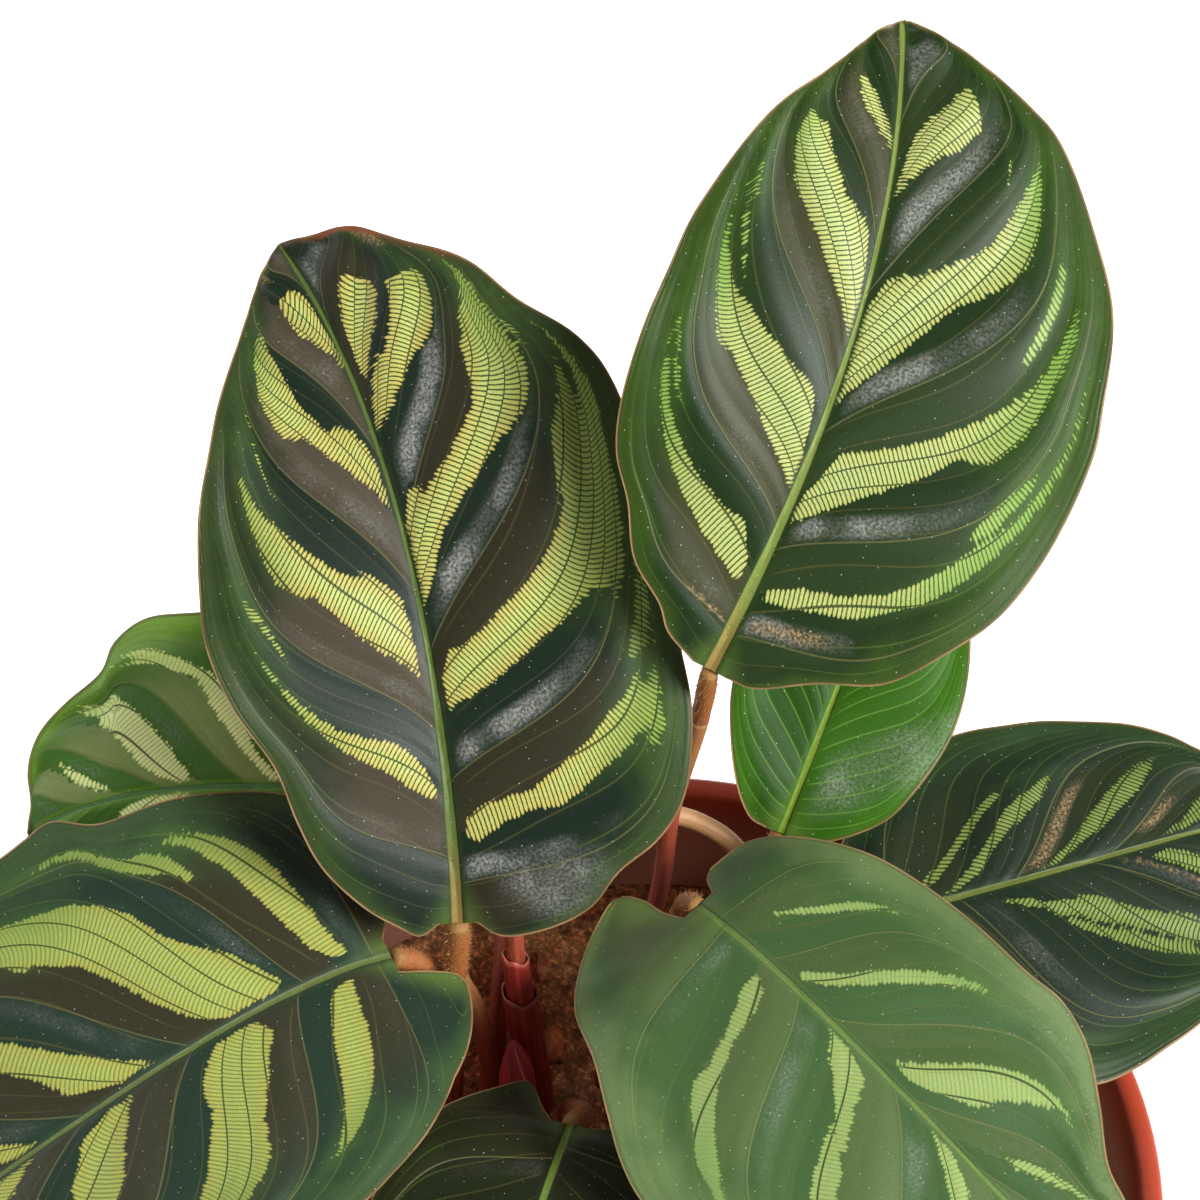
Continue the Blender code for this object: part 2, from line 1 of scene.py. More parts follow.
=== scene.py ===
"""Looks of a peacock plant in a small plastic nursery pot.

The sizes of the leaves, stalks, pot and soil are those of the plant's own solids. Sizes are worked out
in millimetres and become metres where a mesh is made. +Z is up and -Y faces the viewer.
"""

import math

import bpy
import numpy as np
from bpy.props import FloatProperty, FloatVectorProperty, IntProperty, PointerProperty
from bpy.types import Operator, Panel, PropertyGroup
from mathutils import Matrix, Vector


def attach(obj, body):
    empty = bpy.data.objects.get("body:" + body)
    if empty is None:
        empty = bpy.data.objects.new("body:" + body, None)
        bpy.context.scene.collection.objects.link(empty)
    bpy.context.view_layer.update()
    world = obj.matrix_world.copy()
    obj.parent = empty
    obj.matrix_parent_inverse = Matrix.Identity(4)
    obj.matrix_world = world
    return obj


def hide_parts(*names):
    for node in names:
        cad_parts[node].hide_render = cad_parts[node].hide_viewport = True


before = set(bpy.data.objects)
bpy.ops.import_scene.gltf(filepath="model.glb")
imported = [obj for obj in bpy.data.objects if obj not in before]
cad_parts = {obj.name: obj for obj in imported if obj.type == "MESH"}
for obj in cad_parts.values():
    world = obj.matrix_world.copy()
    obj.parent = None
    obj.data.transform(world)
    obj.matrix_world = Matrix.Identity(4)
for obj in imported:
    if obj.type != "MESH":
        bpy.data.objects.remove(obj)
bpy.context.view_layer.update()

bl_info = {
    "name": "Potted Peacock Plant",
    "version": (1, 0, 0),
    "blender": (4, 5, 0),
    "location": "3D View > Sidebar > Peacock Plant",
    "description": "Dresses a potted peacock plant: its patterned leaves, stalks, new shoot, soil and pot",
    "category": "Add Mesh",
}

MM = 0.001

# Pot and soil, as in the solids
POT_HEIGHT = 105.0
RIM_RADIUS = 60.0
LIP_WIDTH = 2.8
LIP_HEIGHT = 0.9
LIP_STEPS = 6
BAND_HEIGHT = 15.0
BAND_STEP = 1.8
BASE_RADIUS = 42.0
WALL = 1.2
FLOOR = 1.6
DRAIN_HOLES = 6
DRAIN_RADIUS = 3.5
DRAIN_CIRCLE = 29.0
DRAIN_TURN = 1 / 16
SOIL_EDGE = 86.5
SOIL_CROWN = 89.0
LUMP_HEIGHT = 0.8
LUMP_WAVES = 24
LUMP_PITCH = (7.0, 16.0)
LUMP_SEED = 11
CRUMB_WAVES = 40

# Stalks and blades, as in the solids
GAP = 0.3
ROOT_END = 76.0
BLADE_THICKNESS = 0.8
COURSE_POINTS = 400
QUILT_HEIGHT = 0.45
QUILT_PITCH = 13.0
CURL = 0.004
SPLINE_STEPS = 16
MIDRIB_STEPS = 120
VEIN_START = (0.12, 9)
VEIN_SPREAD = 0.42
VEIN_END = (0.46, 7)
VEIN_GATHER = 8

# Finer than the solids: the cuts beside a midrib, how deep its groove and the creases of the stout veins
# are, how high the ridge under it is, and how many hairs grow on a joint and on a stem
MIDRIB_CUTS = (-0.95, -0.7, -0.5, -0.34, -0.18, 0, 0.18, 0.34, 0.5, 0.7, 0.95)
MIDRIB_GROOVE = 0.07
VEIN_CREASE = 0.12
UNDER_RIDGE = 0.75
TALL_JOINT_HAIRS = 520
JOINT_HAIRS = 260
STEM_HAIRS = 200

# Each leaf has the course of its midrib, the way its face looks at its base and tip, the fold of its
# left and right halves in degrees, the height of its edge waves, how many of them there are, and its
# margins from base to tip as distances out from and along the midrib. Its stalk runs from the soil
# line to the pulvinus, the swollen joint, which starts so far aside, back and down from the base. The
# radii are those of the petiole and of the pulvinus.
LEAVES = {
    "tall_left": {
        "midrib": ((-22, 24, 125), (-23, 39, 148), (-28, 65, 167), (-43, 89, 170)),
        "faces": ((0.10, -0.62, 0.78), (0.0, -0.45, 0.9)),
        "fold": (8, 18),
        "wave": (0.8, 1.1),
        "waves": 2.6,
        "left": ((2.3, 0), (4.5, -1.3), (7.1, 0.2), (11.1, 3.2), (15.5, 8.4), (17.9, 14.3),
                 (19.8, 21.5), (23.4, 29.1), (25.2, 36.7), (24.9, 43.4), (22.7, 54), (18.9, 62.5),
                 (14.7, 69.9), (8.5, 77.6), (3.8, 82.6), (0, 85)),
        "right": ((2.3, 0), (5.3, -1.7), (10.9, -0.6), (16.1, 2), (19.6, 5.9), (24.6, 9.3),
                  (28.1, 13.6), (29.9, 20), (30.2, 24), (29.8, 30), (29.7, 42), (29.4, 54),
                  (27.1, 60), (21.9, 65.5), (18.2, 71.3), (12.6, 76.4), (8.4, 81), (4.4, 82.9),
                  (0, 85)),
        "stalk": ((-19, 20, 90), (-18.8, 21.8, 99), (-20.3, 23.8, 107.5)),
        "pulvinus": (0, 8.5, 5.3),
        "radii": (1.25, 1.5),
    },
    "tall_right": {
        "midrib": ((7, 38, 155), (18, 51, 173), (29, 70, 190), (29, 99, 197)),
        "faces": ((0.0, -0.62, 0.78), (0.10, -0.5, 0.85)),
        "fold": (8, 8),
        "wave": (0.9, 1.0),
        "waves": 2.3,
        "left": ((2.3, 0), (6.3, 1.8), (8.7, 4.4), (13.6, 7.9), (17, 13.6), (20.6, 18.7), (22.5, 25.5),
                 (23.1, 34.1), (22.5, 41.7), (21.3, 50.3), (18, 59.5), (14, 66.5), (8.8, 71.9),
                 (2.8, 78.2), (0, 79.7)),
        "right": ((2.3, 0), (5.7, 0.5), (11.6, 4.3), (18.3, 7.5), (22.8, 12.7), (27.1, 19.3),
                  (29.4, 27.3), (30.2, 36.7), (29.4, 42.3), (27.9, 50.7), (24.3, 57.9), (19.1, 66.3),
                  (14.8, 70.2), (7, 76), (2, 79.2), (0, 79.7)),
        "stalk": ((-5, 25.5, 90), (-4.4, 26.9, 94.2), (-1.8, 31.5, 101.5), (1.6, 38, 111), (3, 42.5, 122)),
        "pulvinus": (1.9, 9.05, 12.1),
        "radii": (1.2, 1.15),
    },
    "young": {
        "midrib": ((16, 41, 119), (19, 46, 125), (25, 59, 134), (33, 77, 142)),
        "faces": ((0.0, -0.62, 0.78), (0.0, -0.5, 0.85)),
        "fold": (10, 10),
        "wave": (0.5, 0.6),
        "waves": 1.6,
        "left": ((2.1, 0), (4.4, 0.6), (7.2, 3.6), (10, 8.6), (12.1, 14.5), (13, 24), (12, 32), (8, 39),
                 (4, 43), (0, 46)),
        "right": ((2.1, 0), (6.2, 1.5), (11, 5.7), (13.1, 10.1), (14.7, 16.2), (14.8, 21.5),
                  (13.6, 27.1), (11.5, 32), (8, 38), (4, 43), (0, 46)),
        "stalk": ((-13.2, 22.5, 90), (-14.3, 23.5, 103), (-15.4, 25.2, 116), (-15.2, 27.2, 122.5),
                  (-11.5, 32, 124.5), (-4, 40.5, 120.5), (3, 45, 117), (8.6, 44.6, 114),
                  (12.4, 42.4, 111.3)),
        "pulvinus": (0, 5, 3),
        "radii": (1.2, 1.4),
    },
    "back_left": {
        "midrib": ((-26, 49, 115), (-42, 48, 119), (-64, 52, 117), (-75, 48, 108)),
        "faces": ((-0.1, -0.35, 0.93), (-0.3, -0.3, 0.9)),
        "fold": (-8, 6),
        "wave": (0.8, 1.2),
        "waves": 2.4,
        "left": ((2.3, 0), (6, -1), (12, 3), (17, 10), (20, 19), (20, 28), (17.5, 36), (12, 43),
                 (6, 48), (0, 51)),
        "right": ((2.3, 0), (6, -1), (12, 3), (18, 10), (21.5, 19), (21.8, 28), (22.3, 33.5),
                  (20.1, 36.8), (16.4, 38.5), (13.5, 42.2), (10.6, 45.5), (6.8, 47.6), (3, 48.6),
                  (0, 51)),
        "stalk": ((-18, 26, 90), (-17.6, 28.6, 101), (-16.8, 36, 107.5), (-17, 43.5, 109.5),
                  (-18.6, 48.5, 110)),
        "pulvinus": (0, 4.3, 2.5),
        "radii": (1.2, 1.4),
    },
    "back_right": {
        "midrib": ((24, 30, 116), (37, 31, 119), (62, 41, 118), (80, 51, 111)),
        "faces": ((0.1, -0.2, 0.97), (0.2, -0.2, 0.95)),
        "fold": (-2, 5),
        "wave": (0.9, 1.1),
        "waves": 2.2,
        "left": ((2.3, 0), (6, -1.5), (11, 1), (16, 7), (19.5, 14), (20.8, 20.2), (20, 27),
                 (19.1, 34.5), (16.8, 42.3), (13.5, 47.2), (10.1, 50.3), (6, 55), (0, 61)),
        "right": ((2.3, 0), (6, -1.5), (13, 0.5), (20, 6), (24.5, 13), (26.3, 21.1), (25.9, 26),
                  (24.9, 29.7), (23.4, 34.3), (19.5, 43), (13, 52), (5, 59), (0, 61)),
        "stalk": ((0.5, 28, 90), (3, 29, 100), (8.5, 30, 107.5), (14, 30.3, 110.8)),
        "pulvinus": (0, 5.2, 3),
        "radii": (1.2, 1.4),
    },
    "front_left": {
        "midrib": ((-30, 22.5, 120), (-44, 14.5, 126), (-67, -4.5, 124), (-95, -19.5, 110)),
        "faces": ((-0.05, -0.25, 0.96), (-0.15, -0.2, 0.96)),
        "fold": (8, 6),
        "wave": (1.0, 1.2),
        "waves": 2.5,
        "left": ((2.3, 0), (3.2, -4.7), (4.9, -7.7), (9.8, -6.4), (14.6, -3.1), (19, 2.1), (23.1, 8.9),
                 (25.6, 15.8), (27.5, 23), (28, 32), (26.5, 43), (22.5, 55), (16, 66), (8, 75),
                 (0, 80)),
        "right": ((2.3, 0), (4.5, -1.5), (9, -4), (16, -3.5), (23.6, 2.5), (27.1, 8.5), (29.1, 13.3),
                  (31, 20.4), (34.8, 24.5), (34.4, 28.5), (33.7, 32), (32, 42), (28, 52), (21, 63),
                  (12, 73), (5, 78), (0, 80)),
        "stalk": ((-23.4, 19.2, 90), (-22.9, 20.4, 98), (-23.6, 22.2, 108)),
        "pulvinus": (-1.4, 5.2, 2.2),
        "radii": (1.2, 1.4),
    },
    "front_right": {
        "midrib": ((6, 26, 125), (13, 17, 130), (35, -7, 126), (58, -27, 109)),
        "faces": ((0.05, -0.3, 0.95), (0.1, -0.25, 0.95)),
        "fold": (6, 6),
        "wave": (0.8, 1.1),
        "waves": 2.4,
        "left": ((2.3, 0), (3.6, -2.8), (5.5, -3.2), (10.4, -1.9), (14.4, 3.3), (18.1, 10.5),
                 (19.8, 17.6), (20.4, 25), (20.6, 33.4), (21.4, 38.8), (19.9, 44.6), (16, 50.4),
                 (11.7, 55.8), (10.1, 60.2), (8, 65), (4.8, 71), (0, 77)),
        "right": ((2.3, 0), (3, -3.2), (3.1, -7), (4.6, -10.2), (7.9, -9.4), (14.1, -5.5), (19.4, -0.2),
                  (22.7, 7.2), (26.2, 13.2), (29.2, 18.9), (30.6, 25), (31, 38), (27, 52), (19, 64),
                  (10, 73), (0, 77)),
        "stalk": ((-3.5, 20, 90), (-1.5, 22.5, 101), (1.6, 27, 111.5)),
        "pulvinus": (0, 5.2, 3),
        "radii": (1.2, 1.4),
    },
    "front_middle": {
        "midrib": ((-9, 5.2, 110.5), (-11, -4.8, 116.5), (-17, -24.8, 115.5), (-23, -47.8, 109.5)),
        "faces": ((0.0, -0.3, 0.95), (0.0, -0.35, 0.93)),
        "fold": (6, 2),
        "wave": (0.9, 0.9),
        "waves": 2.2,
        "left": ((2.3, 0), (4.2, -0.6), (8, -2), (12, -1.2), (16, 3.5), (19, 10), (20, 18), (18.5, 29),
                 (15, 39), (9, 49), (0, 56)),
        "right": ((2.3, 0), (3.8, -3.2), (5.2, -6.6), (6.9, -8), (9.7, -4.9), (13.2, -0.2), (15.5, 5),
                  (18, 14), (19, 22), (18, 31), (15, 40), (10, 48), (0, 56)),
        "stalk": ((-9.5, 16, 90), (-9.2, 15.6, 98)),
        "pulvinus": (-1, 5.3, 0.8),
        "radii": (1.2, 1.4),
    },
}

# The pale patches of each half, from the midrib out. A knot is a share of the half's width, and the
# stations along the midrib between which the patch's veins start there.
PATCHES = {
    "tall_left": {
        "left": (
            ((0.01, 65.5, 67), (0.1, 62.5, 73), (0.25, 61, 72), (0.42, 65, 67)),
            ((0.03, 47, 52.5), (0.1, 46, 53), (0.25, 44.8, 48.3), (0.38, 44.4, 49), (0.5, 42, 52),
             (0.66, 43, 56), (0.76, 47.5, 52)),
            ((0.06, 27, 35.2), (0.18, 26.4, 34.4), (0.28, 26.7, 32.5), (0.45, 28, 32), (0.6, 26, 31.8),
             (0.7, 27.6, 30.8), (0.77, 29.3, 30)),
            ((0.06, 13.5, 14.5), (0.14, 13.2, 16.5), (0.24, 13.4, 17.3), (0.38, 14, 16.9),
             (0.56, 14.1, 16), (0.7, 14.9, 16.5), (0.8, 16.4, 16.9)),
            ((0.56, 33.6, 34.6), (0.64, 35.6, 37), (0.73, 36.8, 38.2), (0.76, 38, 38.5)),
            ((0.68, 19.4, 20.4), (0.74, 20.2, 21.2), (0.82, 18.8, 19.4)),
        ),
        "right": (
            ((0.05, 60, 62), (0.1, 59, 66.5), (0.25, 57.7, 67), (0.4, 58, 66), (0.5, 59, 61)),
            ((0.02, 56, 58.3), (0.1, 53.5, 57.8), (0.23, 51, 55.3), (0.35, 49.4, 55.3),
             (0.5, 47.2, 57), (0.72, 48, 52)),
            ((0.015, 36, 46), (0.07, 36.5, 46.8), (0.16, 37.8, 43.4), (0.3, 37.2, 41.6),
             (0.45, 36.2, 41.2), (0.6, 34, 43.4), (0.75, 33.2, 42), (0.88, 30, 35)),
            ((0.04, 23.5, 28), (0.1, 23.2, 29), (0.2, 22, 27), (0.35, 21.8, 26.7), (0.5, 21.6, 26.3),
             (0.65, 20, 26.3), (0.72, 18.2, 30), (0.8, 16, 28.5), (0.89, 14.5, 21)),
            ((0.07, 9.5, 11.5), (0.14, 8.4, 12.1), (0.25, 9.3, 11.8), (0.36, 9.6, 11.5),
             (0.5, 9.1, 12.5), (0.66, 10.1, 13.3), (0.8, 9.6, 12), (0.93, 6, 7.5)),
            ((0.78, 12.9, 13.5), (0.86, 10.8, 12.9), (0.93, 8.6, 10)),
        ),
    },
    "tall_right": {
        "left": (
            ((0.03, 61, 63), (0.15, 57.5, 61), (0.3, 56, 60.4), (0.42, 56.2, 60.5), (0.54, 57.8, 58.8)),
            ((0.02, 39.5, 44), (0.05, 39.2, 48.5), (0.1, 39, 49.5), (0.25, 38.3, 45.7),
             (0.44, 38.6, 46.5), (0.6, 38, 48), (0.74, 39.8, 43)),
            ((0.03, 21.6, 25), (0.08, 21.2, 29.5), (0.14, 21.3, 30.3), (0.25, 21.5, 28.8),
             (0.4, 22.4, 27.6), (0.55, 22.4, 26.9), (0.67, 21.3, 25.4), (0.83, 22.2, 23.2)),
            ((0.12, 10, 12), (0.17, 9, 14.1), (0.32, 9.2, 13.5), (0.48, 9.6, 13.2), (0.65, 11, 13.6),
             (0.8, 11.8, 13.4), (0.86, 11.9, 12.3)),
            ((0.64, 26.2, 27.2), (0.72, 27.3, 28.6), (0.81, 26.8, 28.2), (0.84, 26.5, 27)),
            ((0.71, 14.5, 15.1), (0.79, 14.4, 15.5), (0.85, 14, 14.9)),
            ((0.74, 30, 30.8), (0.84, 28.6, 30)),
        ),
        "right": (
            ((0.03, 55.5, 57.4), (0.1, 54, 59.4), (0.2, 52.5, 59), (0.36, 50.6, 57.9), (0.5, 50.8, 58),
             (0.59, 55, 57)),
            ((0.015, 32, 43), (0.05, 32.5, 44.5), (0.12, 33.2, 43), (0.2, 33.7, 41), (0.33, 34.9, 39.5),
             (0.45, 34, 38.4), (0.6, 32.6, 38.7), (0.7, 33.3, 38.5), (0.79, 35.5, 36.5)),
            ((0.03, 18, 21.5), (0.12, 18.4, 25.2), (0.22, 19.2, 24.2), (0.33, 19.9, 23.9),
             (0.5, 21, 23.8), (0.65, 19.2, 23.7), (0.76, 19.1, 22.3), (0.84, 18.4, 19.8)),
            ((0.66, 25, 26), (0.74, 24.7, 27.5), (0.81, 25.4, 27)),
            ((0.07, 8.8, 10), (0.2, 8, 10.5), (0.35, 8.2, 10.1), (0.52, 8, 10.4), (0.66, 8.8, 12.2),
             (0.78, 10.2, 12.8), (0.89, 9.3, 11)),
            ((0.72, 13.6, 14.6), (0.78, 13, 15.2), (0.85, 13.3, 14.4)),
            ((0.59, 40.6, 41.4), (0.63, 42.4, 44), (0.66, 45.5, 47)),
        ),
    },
    "back_left": {
        "left": (
            ((0.02, 27.5, 33), (0.08, 27.2, 34.5), (0.2, 29.8, 33), (0.34, 31, 32.4)),
            ((0.05, 13, 16.5), (0.3, 13.5, 17), (0.6, 14, 17), (0.8, 15, 15.6)),
        ),
        "right": (
            ((0.03, 27.6, 29.4), (0.08, 26.2, 30), (0.26, 24.8, 28.8), (0.44, 24.6, 27.8),
             (0.6, 23.8, 26.6), (0.8, 21, 23.6), (0.9, 17.2, 18)),
            ((0.03, 16.8, 18.4), (0.2, 17, 18.6), (0.45, 16, 18.4), (0.62, 15.6, 17.2), (0.72, 15.8, 19),
             (0.86, 15.2, 16.4)),
            ((0.06, 35.6, 37), (0.2, 34.4, 36.6), (0.38, 34, 36), (0.5, 34, 34.8)),
            ((0.1, 7.5, 9.5), (0.4, 8, 10), (0.7, 8.6, 10), (0.82, 8.8, 9.2)),
        ),
    },
    "back_right": {
        "left": (
            ((0.1, 7.6, 8.4), (0.17, 8, 9.4), (0.4, 11, 12.6), (0.6, 13.8, 15)),
            ((0.02, 10.8, 12.4), (0.15, 12.4, 15), (0.3, 14.2, 16.8), (0.5, 16.6, 18.8), (0.62, 17.8, 18.6)),
            ((0.03, 22.8, 24.6), (0.2, 24.4, 27.6), (0.4, 25.4, 29), (0.56, 26.4, 28.6), (0.66, 26.8, 27.6)),
            ((0.04, 38, 41), (0.2, 37.6, 42), (0.42, 37, 40.6), (0.6, 37.6, 38.6)),
        ),
        "right": (
            ((0.08, 16, 17.2), (0.12, 16.2, 22), (0.2, 20.4, 24.4), (0.35, 22.4, 26), (0.5, 23.8, 27.4),
             (0.66, 23.6, 25.4)),
            ((0.2, 18.6, 19.8), (0.4, 20.6, 22.6), (0.6, 21.8, 23.8), (0.74, 21.6, 22.4)),
            ((0.06, 7.4, 8.6), (0.3, 7.4, 9.4), (0.6, 8.2, 10.2), (0.8, 9, 9.8)),
            ((0.05, 34, 37.6), (0.25, 33.4, 38), (0.5, 33, 37), (0.72, 33, 34.6)),
        ),
    },
    "front_left": {
        "left": (
            ((0.08, 5.6, 7.8), (0.2, 5.6, 9), (0.38, 5.8, 9.6), (0.55, 6.4, 9.8), (0.7, 7.4, 10.2),
             (0.8, 8.8, 10.4)),
            ((0.04, 18, 23.6), (0.12, 15.6, 24), (0.26, 16.4, 22.6), (0.46, 17.4, 22.8),
             (0.62, 16.6, 22.4), (0.78, 17.6, 20)),
            ((0.03, 34, 37.4), (0.1, 33.1, 39), (0.3, 31.4, 36.4), (0.44, 30.6, 35), (0.6, 31.2, 34)),
            ((0.02, 47.6, 52.4), (0.1, 46, 50.6), (0.24, 45, 49.6), (0.42, 44.6, 48), (0.56, 45.4, 46.8)),
            ((0.03, 61, 64), (0.16, 59, 64.6), (0.34, 59, 62.6), (0.48, 60, 61)),
        ),
        "right": (
            ((0.08, 4.2, 6.4), (0.2, 4.8, 7.6), (0.45, 4.8, 7.6), (0.65, 4.9, 7.5), (0.79, 5.4, 7.3),
             (0.87, 6.2, 7)),
            ((0.66, 9.4, 10.4), (0.74, 8.6, 11.6), (0.85, 8, 10)),
            ((0.03, 14, 20.5), (0.07, 12.6, 22.5), (0.2, 13.2, 22.3), (0.32, 14.3, 22), (0.44, 16, 22),
             (0.55, 15.8, 23), (0.64, 16.4, 24), (0.76, 18.3, 21)),
            ((0.03, 30, 35), (0.1, 30.5, 37), (0.2, 31.1, 35.4), (0.34, 31.4, 34.8), (0.46, 31.2, 35),
             (0.62, 32, 35.4), (0.74, 33, 33.8)),
            ((0.02, 46, 50), (0.11, 45.1, 50), (0.3, 44.8, 48.8), (0.5, 45, 49), (0.64, 46.4, 47.8)),
            ((0.03, 60, 63), (0.16, 58.6, 63.6), (0.34, 58.8, 62), (0.48, 60, 60.8)),
        ),
    },
    "front_right": {
        "left": (
            ((0.28, 6, 6.8), (0.5, 7.6, 8.6), (0.76, 8.4, 9.4)),
            ((0.06, 14, 15.6), (0.16, 14.4, 16.8), (0.3, 15.4, 17.2), (0.5, 16, 17.7), (0.65, 16.3, 17.8),
             (0.78, 15.8, 16.8)),
            ((0.08, 27.6, 31.2), (0.18, 27.2, 33), (0.4, 27, 31.4), (0.56, 27.2, 30.4), (0.68, 27.4, 28.6)),
            ((0.18, 39.4, 41.2), (0.3, 38.4, 40.6), (0.45, 37.4, 39.4), (0.62, 35.8, 37.8), (0.68, 35, 36)),
            ((0.05, 51, 54), (0.2, 50.4, 54.4), (0.36, 50, 53), (0.5, 50.4, 51.4)),
        ),
        "right": (
            ((0.08, 11.4, 13), (0.18, 10.4, 13.2), (0.4, 11.5, 12.7), (0.52, 11.6, 13.8), (0.6, 10.8, 14.4),
             (0.68, 11.6, 14.9), (0.77, 14.1, 14.8)),
            ((0.02, 22.4, 25.6), (0.07, 22.4, 28), (0.2, 23.6, 26.8), (0.34, 25.4, 26.6)),
            ((0.32, 24.4, 25.4), (0.4, 24, 26.8), (0.56, 23.8, 26), (0.7, 24, 25)),
            ((0.02, 38.6, 42), (0.08, 39, 43), (0.2, 39.4, 42.4), (0.42, 38.6, 41.8), (0.6, 38, 39.6)),
            ((0.03, 53, 56), (0.18, 52, 56.4), (0.34, 52, 55), (0.5, 52.6, 53.6)),
        ),
    },
    "front_middle": {
        "left": (
            ((0.05, 20, 23.6), (0.2, 19.6, 24), (0.45, 19.4, 23), (0.7, 20, 21.6)),
            ((0.05, 32, 35.6), (0.22, 31.4, 36), (0.45, 31, 34.6), (0.62, 31.8, 33)),
            ((0.04, 43.6, 45.6), (0.2, 42.6, 46), (0.4, 42.8, 44)),
        ),
        "right": (
            ((0.05, 25.6, 29), (0.2, 25, 29.6), (0.45, 25.2, 28.6), (0.7, 26, 27)),
            ((0.05, 37.6, 41), (0.22, 37, 41), (0.42, 37.2, 39.8), (0.56, 38, 38.8)),
        ),
    },
    "young": {"left": (), "right": ()},
}

# Stations of the stout lateral veins, each along the middle of a dark blotch
STOUT_VEINS = {
    "tall_left": {"left": (7.5, 22, 38.5, 55, 76), "right": (4.5, 16.7, 32, 45.5, 72)},
    "tall_right": {"left": (5, 17.7, 33.5, 51, 69), "right": (4.5, 15.2, 29.3, 46, 66)},
    "back_left": {"left": (8.5, 21.5, 40), "right": (5, 13, 21.6, 31.5, 41)},
    "back_right": {"left": (4, 20, 32, 48), "right": (3.5, 13, 30, 45)},
    "front_left": {"left": (2, 12.6, 27, 41.5, 56), "right": (2, 11.2, 26.6, 41, 55)},
    "front_right": {"left": (3.4, 11.6, 22, 35, 46), "right": (5, 17.5, 33, 48)},
    "front_middle": {"left": (4.5, 15.6, 27.6, 39.5), "right": (6.5, 21, 33.4, 45)},
    "young": {"left": (-9, 60), "right": (-9, 60)},
}

# Dry scars: the half, the station, from which share of the width to which, and how far to each side
SCARS = {
    "back_right": (
        ("left", 21.5, 0.06, 0.5, 1.0), ("left", 33.5, 0.12, 0.3, 0.8), ("right", 32.5, 0.04, 0.5, 0.22),
        ("right", 4.5, 0.03, 0.6, 0.2)),
    "tall_right": (("left", 5.2, 0.1, 0.5, 0.3), ("right", 5.8, 0.12, 0.5, 0.9)),
    "tall_left": (("right", 57, 0.84, 0.97, 1.2), ("left", 70, 0.7, 0.95, 0.5)),
}

# The young leaf's stalk comes out of two sheaths, each with the height of its mouth and its radius
SHEATHS = {
    "inner_sheath": {"mouth": 117.0, "inside": 1.4, "radius": 1.65},
    "outer_sheath": {"mouth": 111.0, "inside": 1.9, "radius": 2.15},
}
SHOOT_COURSE = (
    (-14.9, 15.4, 76), (-14.9, 15.5, 90), (-15.1, 16.5, 96), (-15.3, 18, 103), (-15.7, 19.2, 107.5))
SHOOT_RADII = (2.2, 2.5, 2.75, 2.5, 1.7)
SHOOT_TIP = (2.3, 2.05, 1.6, 1.0, 0.1)

# Chips of three sizes: the least and the greatest size, and the share of all chips
CHIP_SIZES = ((2.0, 4.4, 0.3), (1.0, 2.2, 0.4), (0.5, 1.1, 0.3))
CHIP_SEED = 31
CHIP_CLEARANCE = 4.5
STRAND_COURSE = ((-1, 0, 0), (-0.5, 0.14, 0.05), (0, 0.1, 0.09), (0.5, -0.1, 0.04), (1, 0, 0))
STRAND_RADII = (0.012, 0.02, 0.02, 0.012)
STRAND_CLEARANCE = 5.5

# Each light has its place in metres and its size, and both look at one target. The camera aims at a
# point in the plane of the pot's rim, given in millimetres.
KEY_LIGHT = ((0.8, -0.5, 0.85), 0.6)
FILL_LIGHT = ((-0.9, 0.6, 0.7), 0.8)
LIGHT_TARGET = (0, 0.03, 0.12)
CAMERA_AIM = (-5.5, 87)


def tint(red, green, blue):
    """A screen colour as the linear numbers that a colour property holds."""
    shares = (red / 255, green / 255, blue / 255)
    return tuple(s / 12.92 if s <= 0.04045 else ((s + 0.055) / 1.055) ** 2.4 for s in shares)


def length(name, millimetres, description):
    return FloatProperty(
        name=name, description=description, default=millimetres * MM, min=0, precision=5, unit="LENGTH")


def colour(name, default, description):
    return FloatVectorProperty(
        name=name, description=description, default=tint(*default), size=3, min=0, max=1, subtype="COLOR")


class LeafLook(PropertyGroup):
    """Sizes and colours of the leaf blades."""

    cell: length("Mesh cell", 0.55, "Pitch of the grid that a blade's outline is cut by")
    middle: length("Thickness inside", 0.5, "Thickness of a blade beside its midrib")
    edge: length("Thickness at the margin", 0.3, "Thickness of a blade at its margin")
    line_pitch: length("Line pitch", 0.53, "Distance between the fine cross lines of a pale patch")
    vein_dark: colour("Dark veins", (30, 44, 16), "Lateral veins inside a patch")
    vein_faint: colour("Faint veins", (96, 88, 46), "Lateral veins outside the patches")
    vein_stout: colour("Stout veins", (118, 116, 70), "Lateral veins in the middle of the blotches")
    # Painted reflection: the colour of the sheen streaks and glare painted on the blotches
    painted_sheen: colour("Sheen", (172, 172, 166), "Waxy streaks on the blotches")
    margin: colour("Margin line", (150, 120, 82), "Thin dry line round the leaf")
    dust: colour("Dust", (226, 226, 214), "Specks on the leaf")
    underside: colour("Underside", (98, 30, 46), "Burgundy underside")
    underside_pale: colour("Underside patches", (142, 92, 84), "Underside below the pale patches")


class StalkLook(PropertyGroup):
    """Sizes and colours of the stalks, sheaths and new shoot."""

    hair: length("Hair length", 0.7, "Length of the fine hairs")
    petiole: colour("Petiole", (140, 60, 36), "Red-brown petiole")
    petiole_green: colour("Petiole tan", (146, 108, 62), "Tan-green tinge of a petiole")
    pulvinus: colour("Pulvinus", (140, 80, 32), "Golden tan pulvinus")
    hairs: colour("Hairs", (174, 128, 78), "Fine hairs")
    sheath: colour("Sheath", (152, 48, 34), "Dark red sheath")
    sheath_lip: colour("Sheath lip", (154, 78, 54), "Dry lip of a sheath")
    shoot: colour("Shoot", (178, 44, 56), "Crimson new shoot")
    shoot_dark: colour("Shoot shade", (104, 22, 34), "Darker streaks of the new shoot")


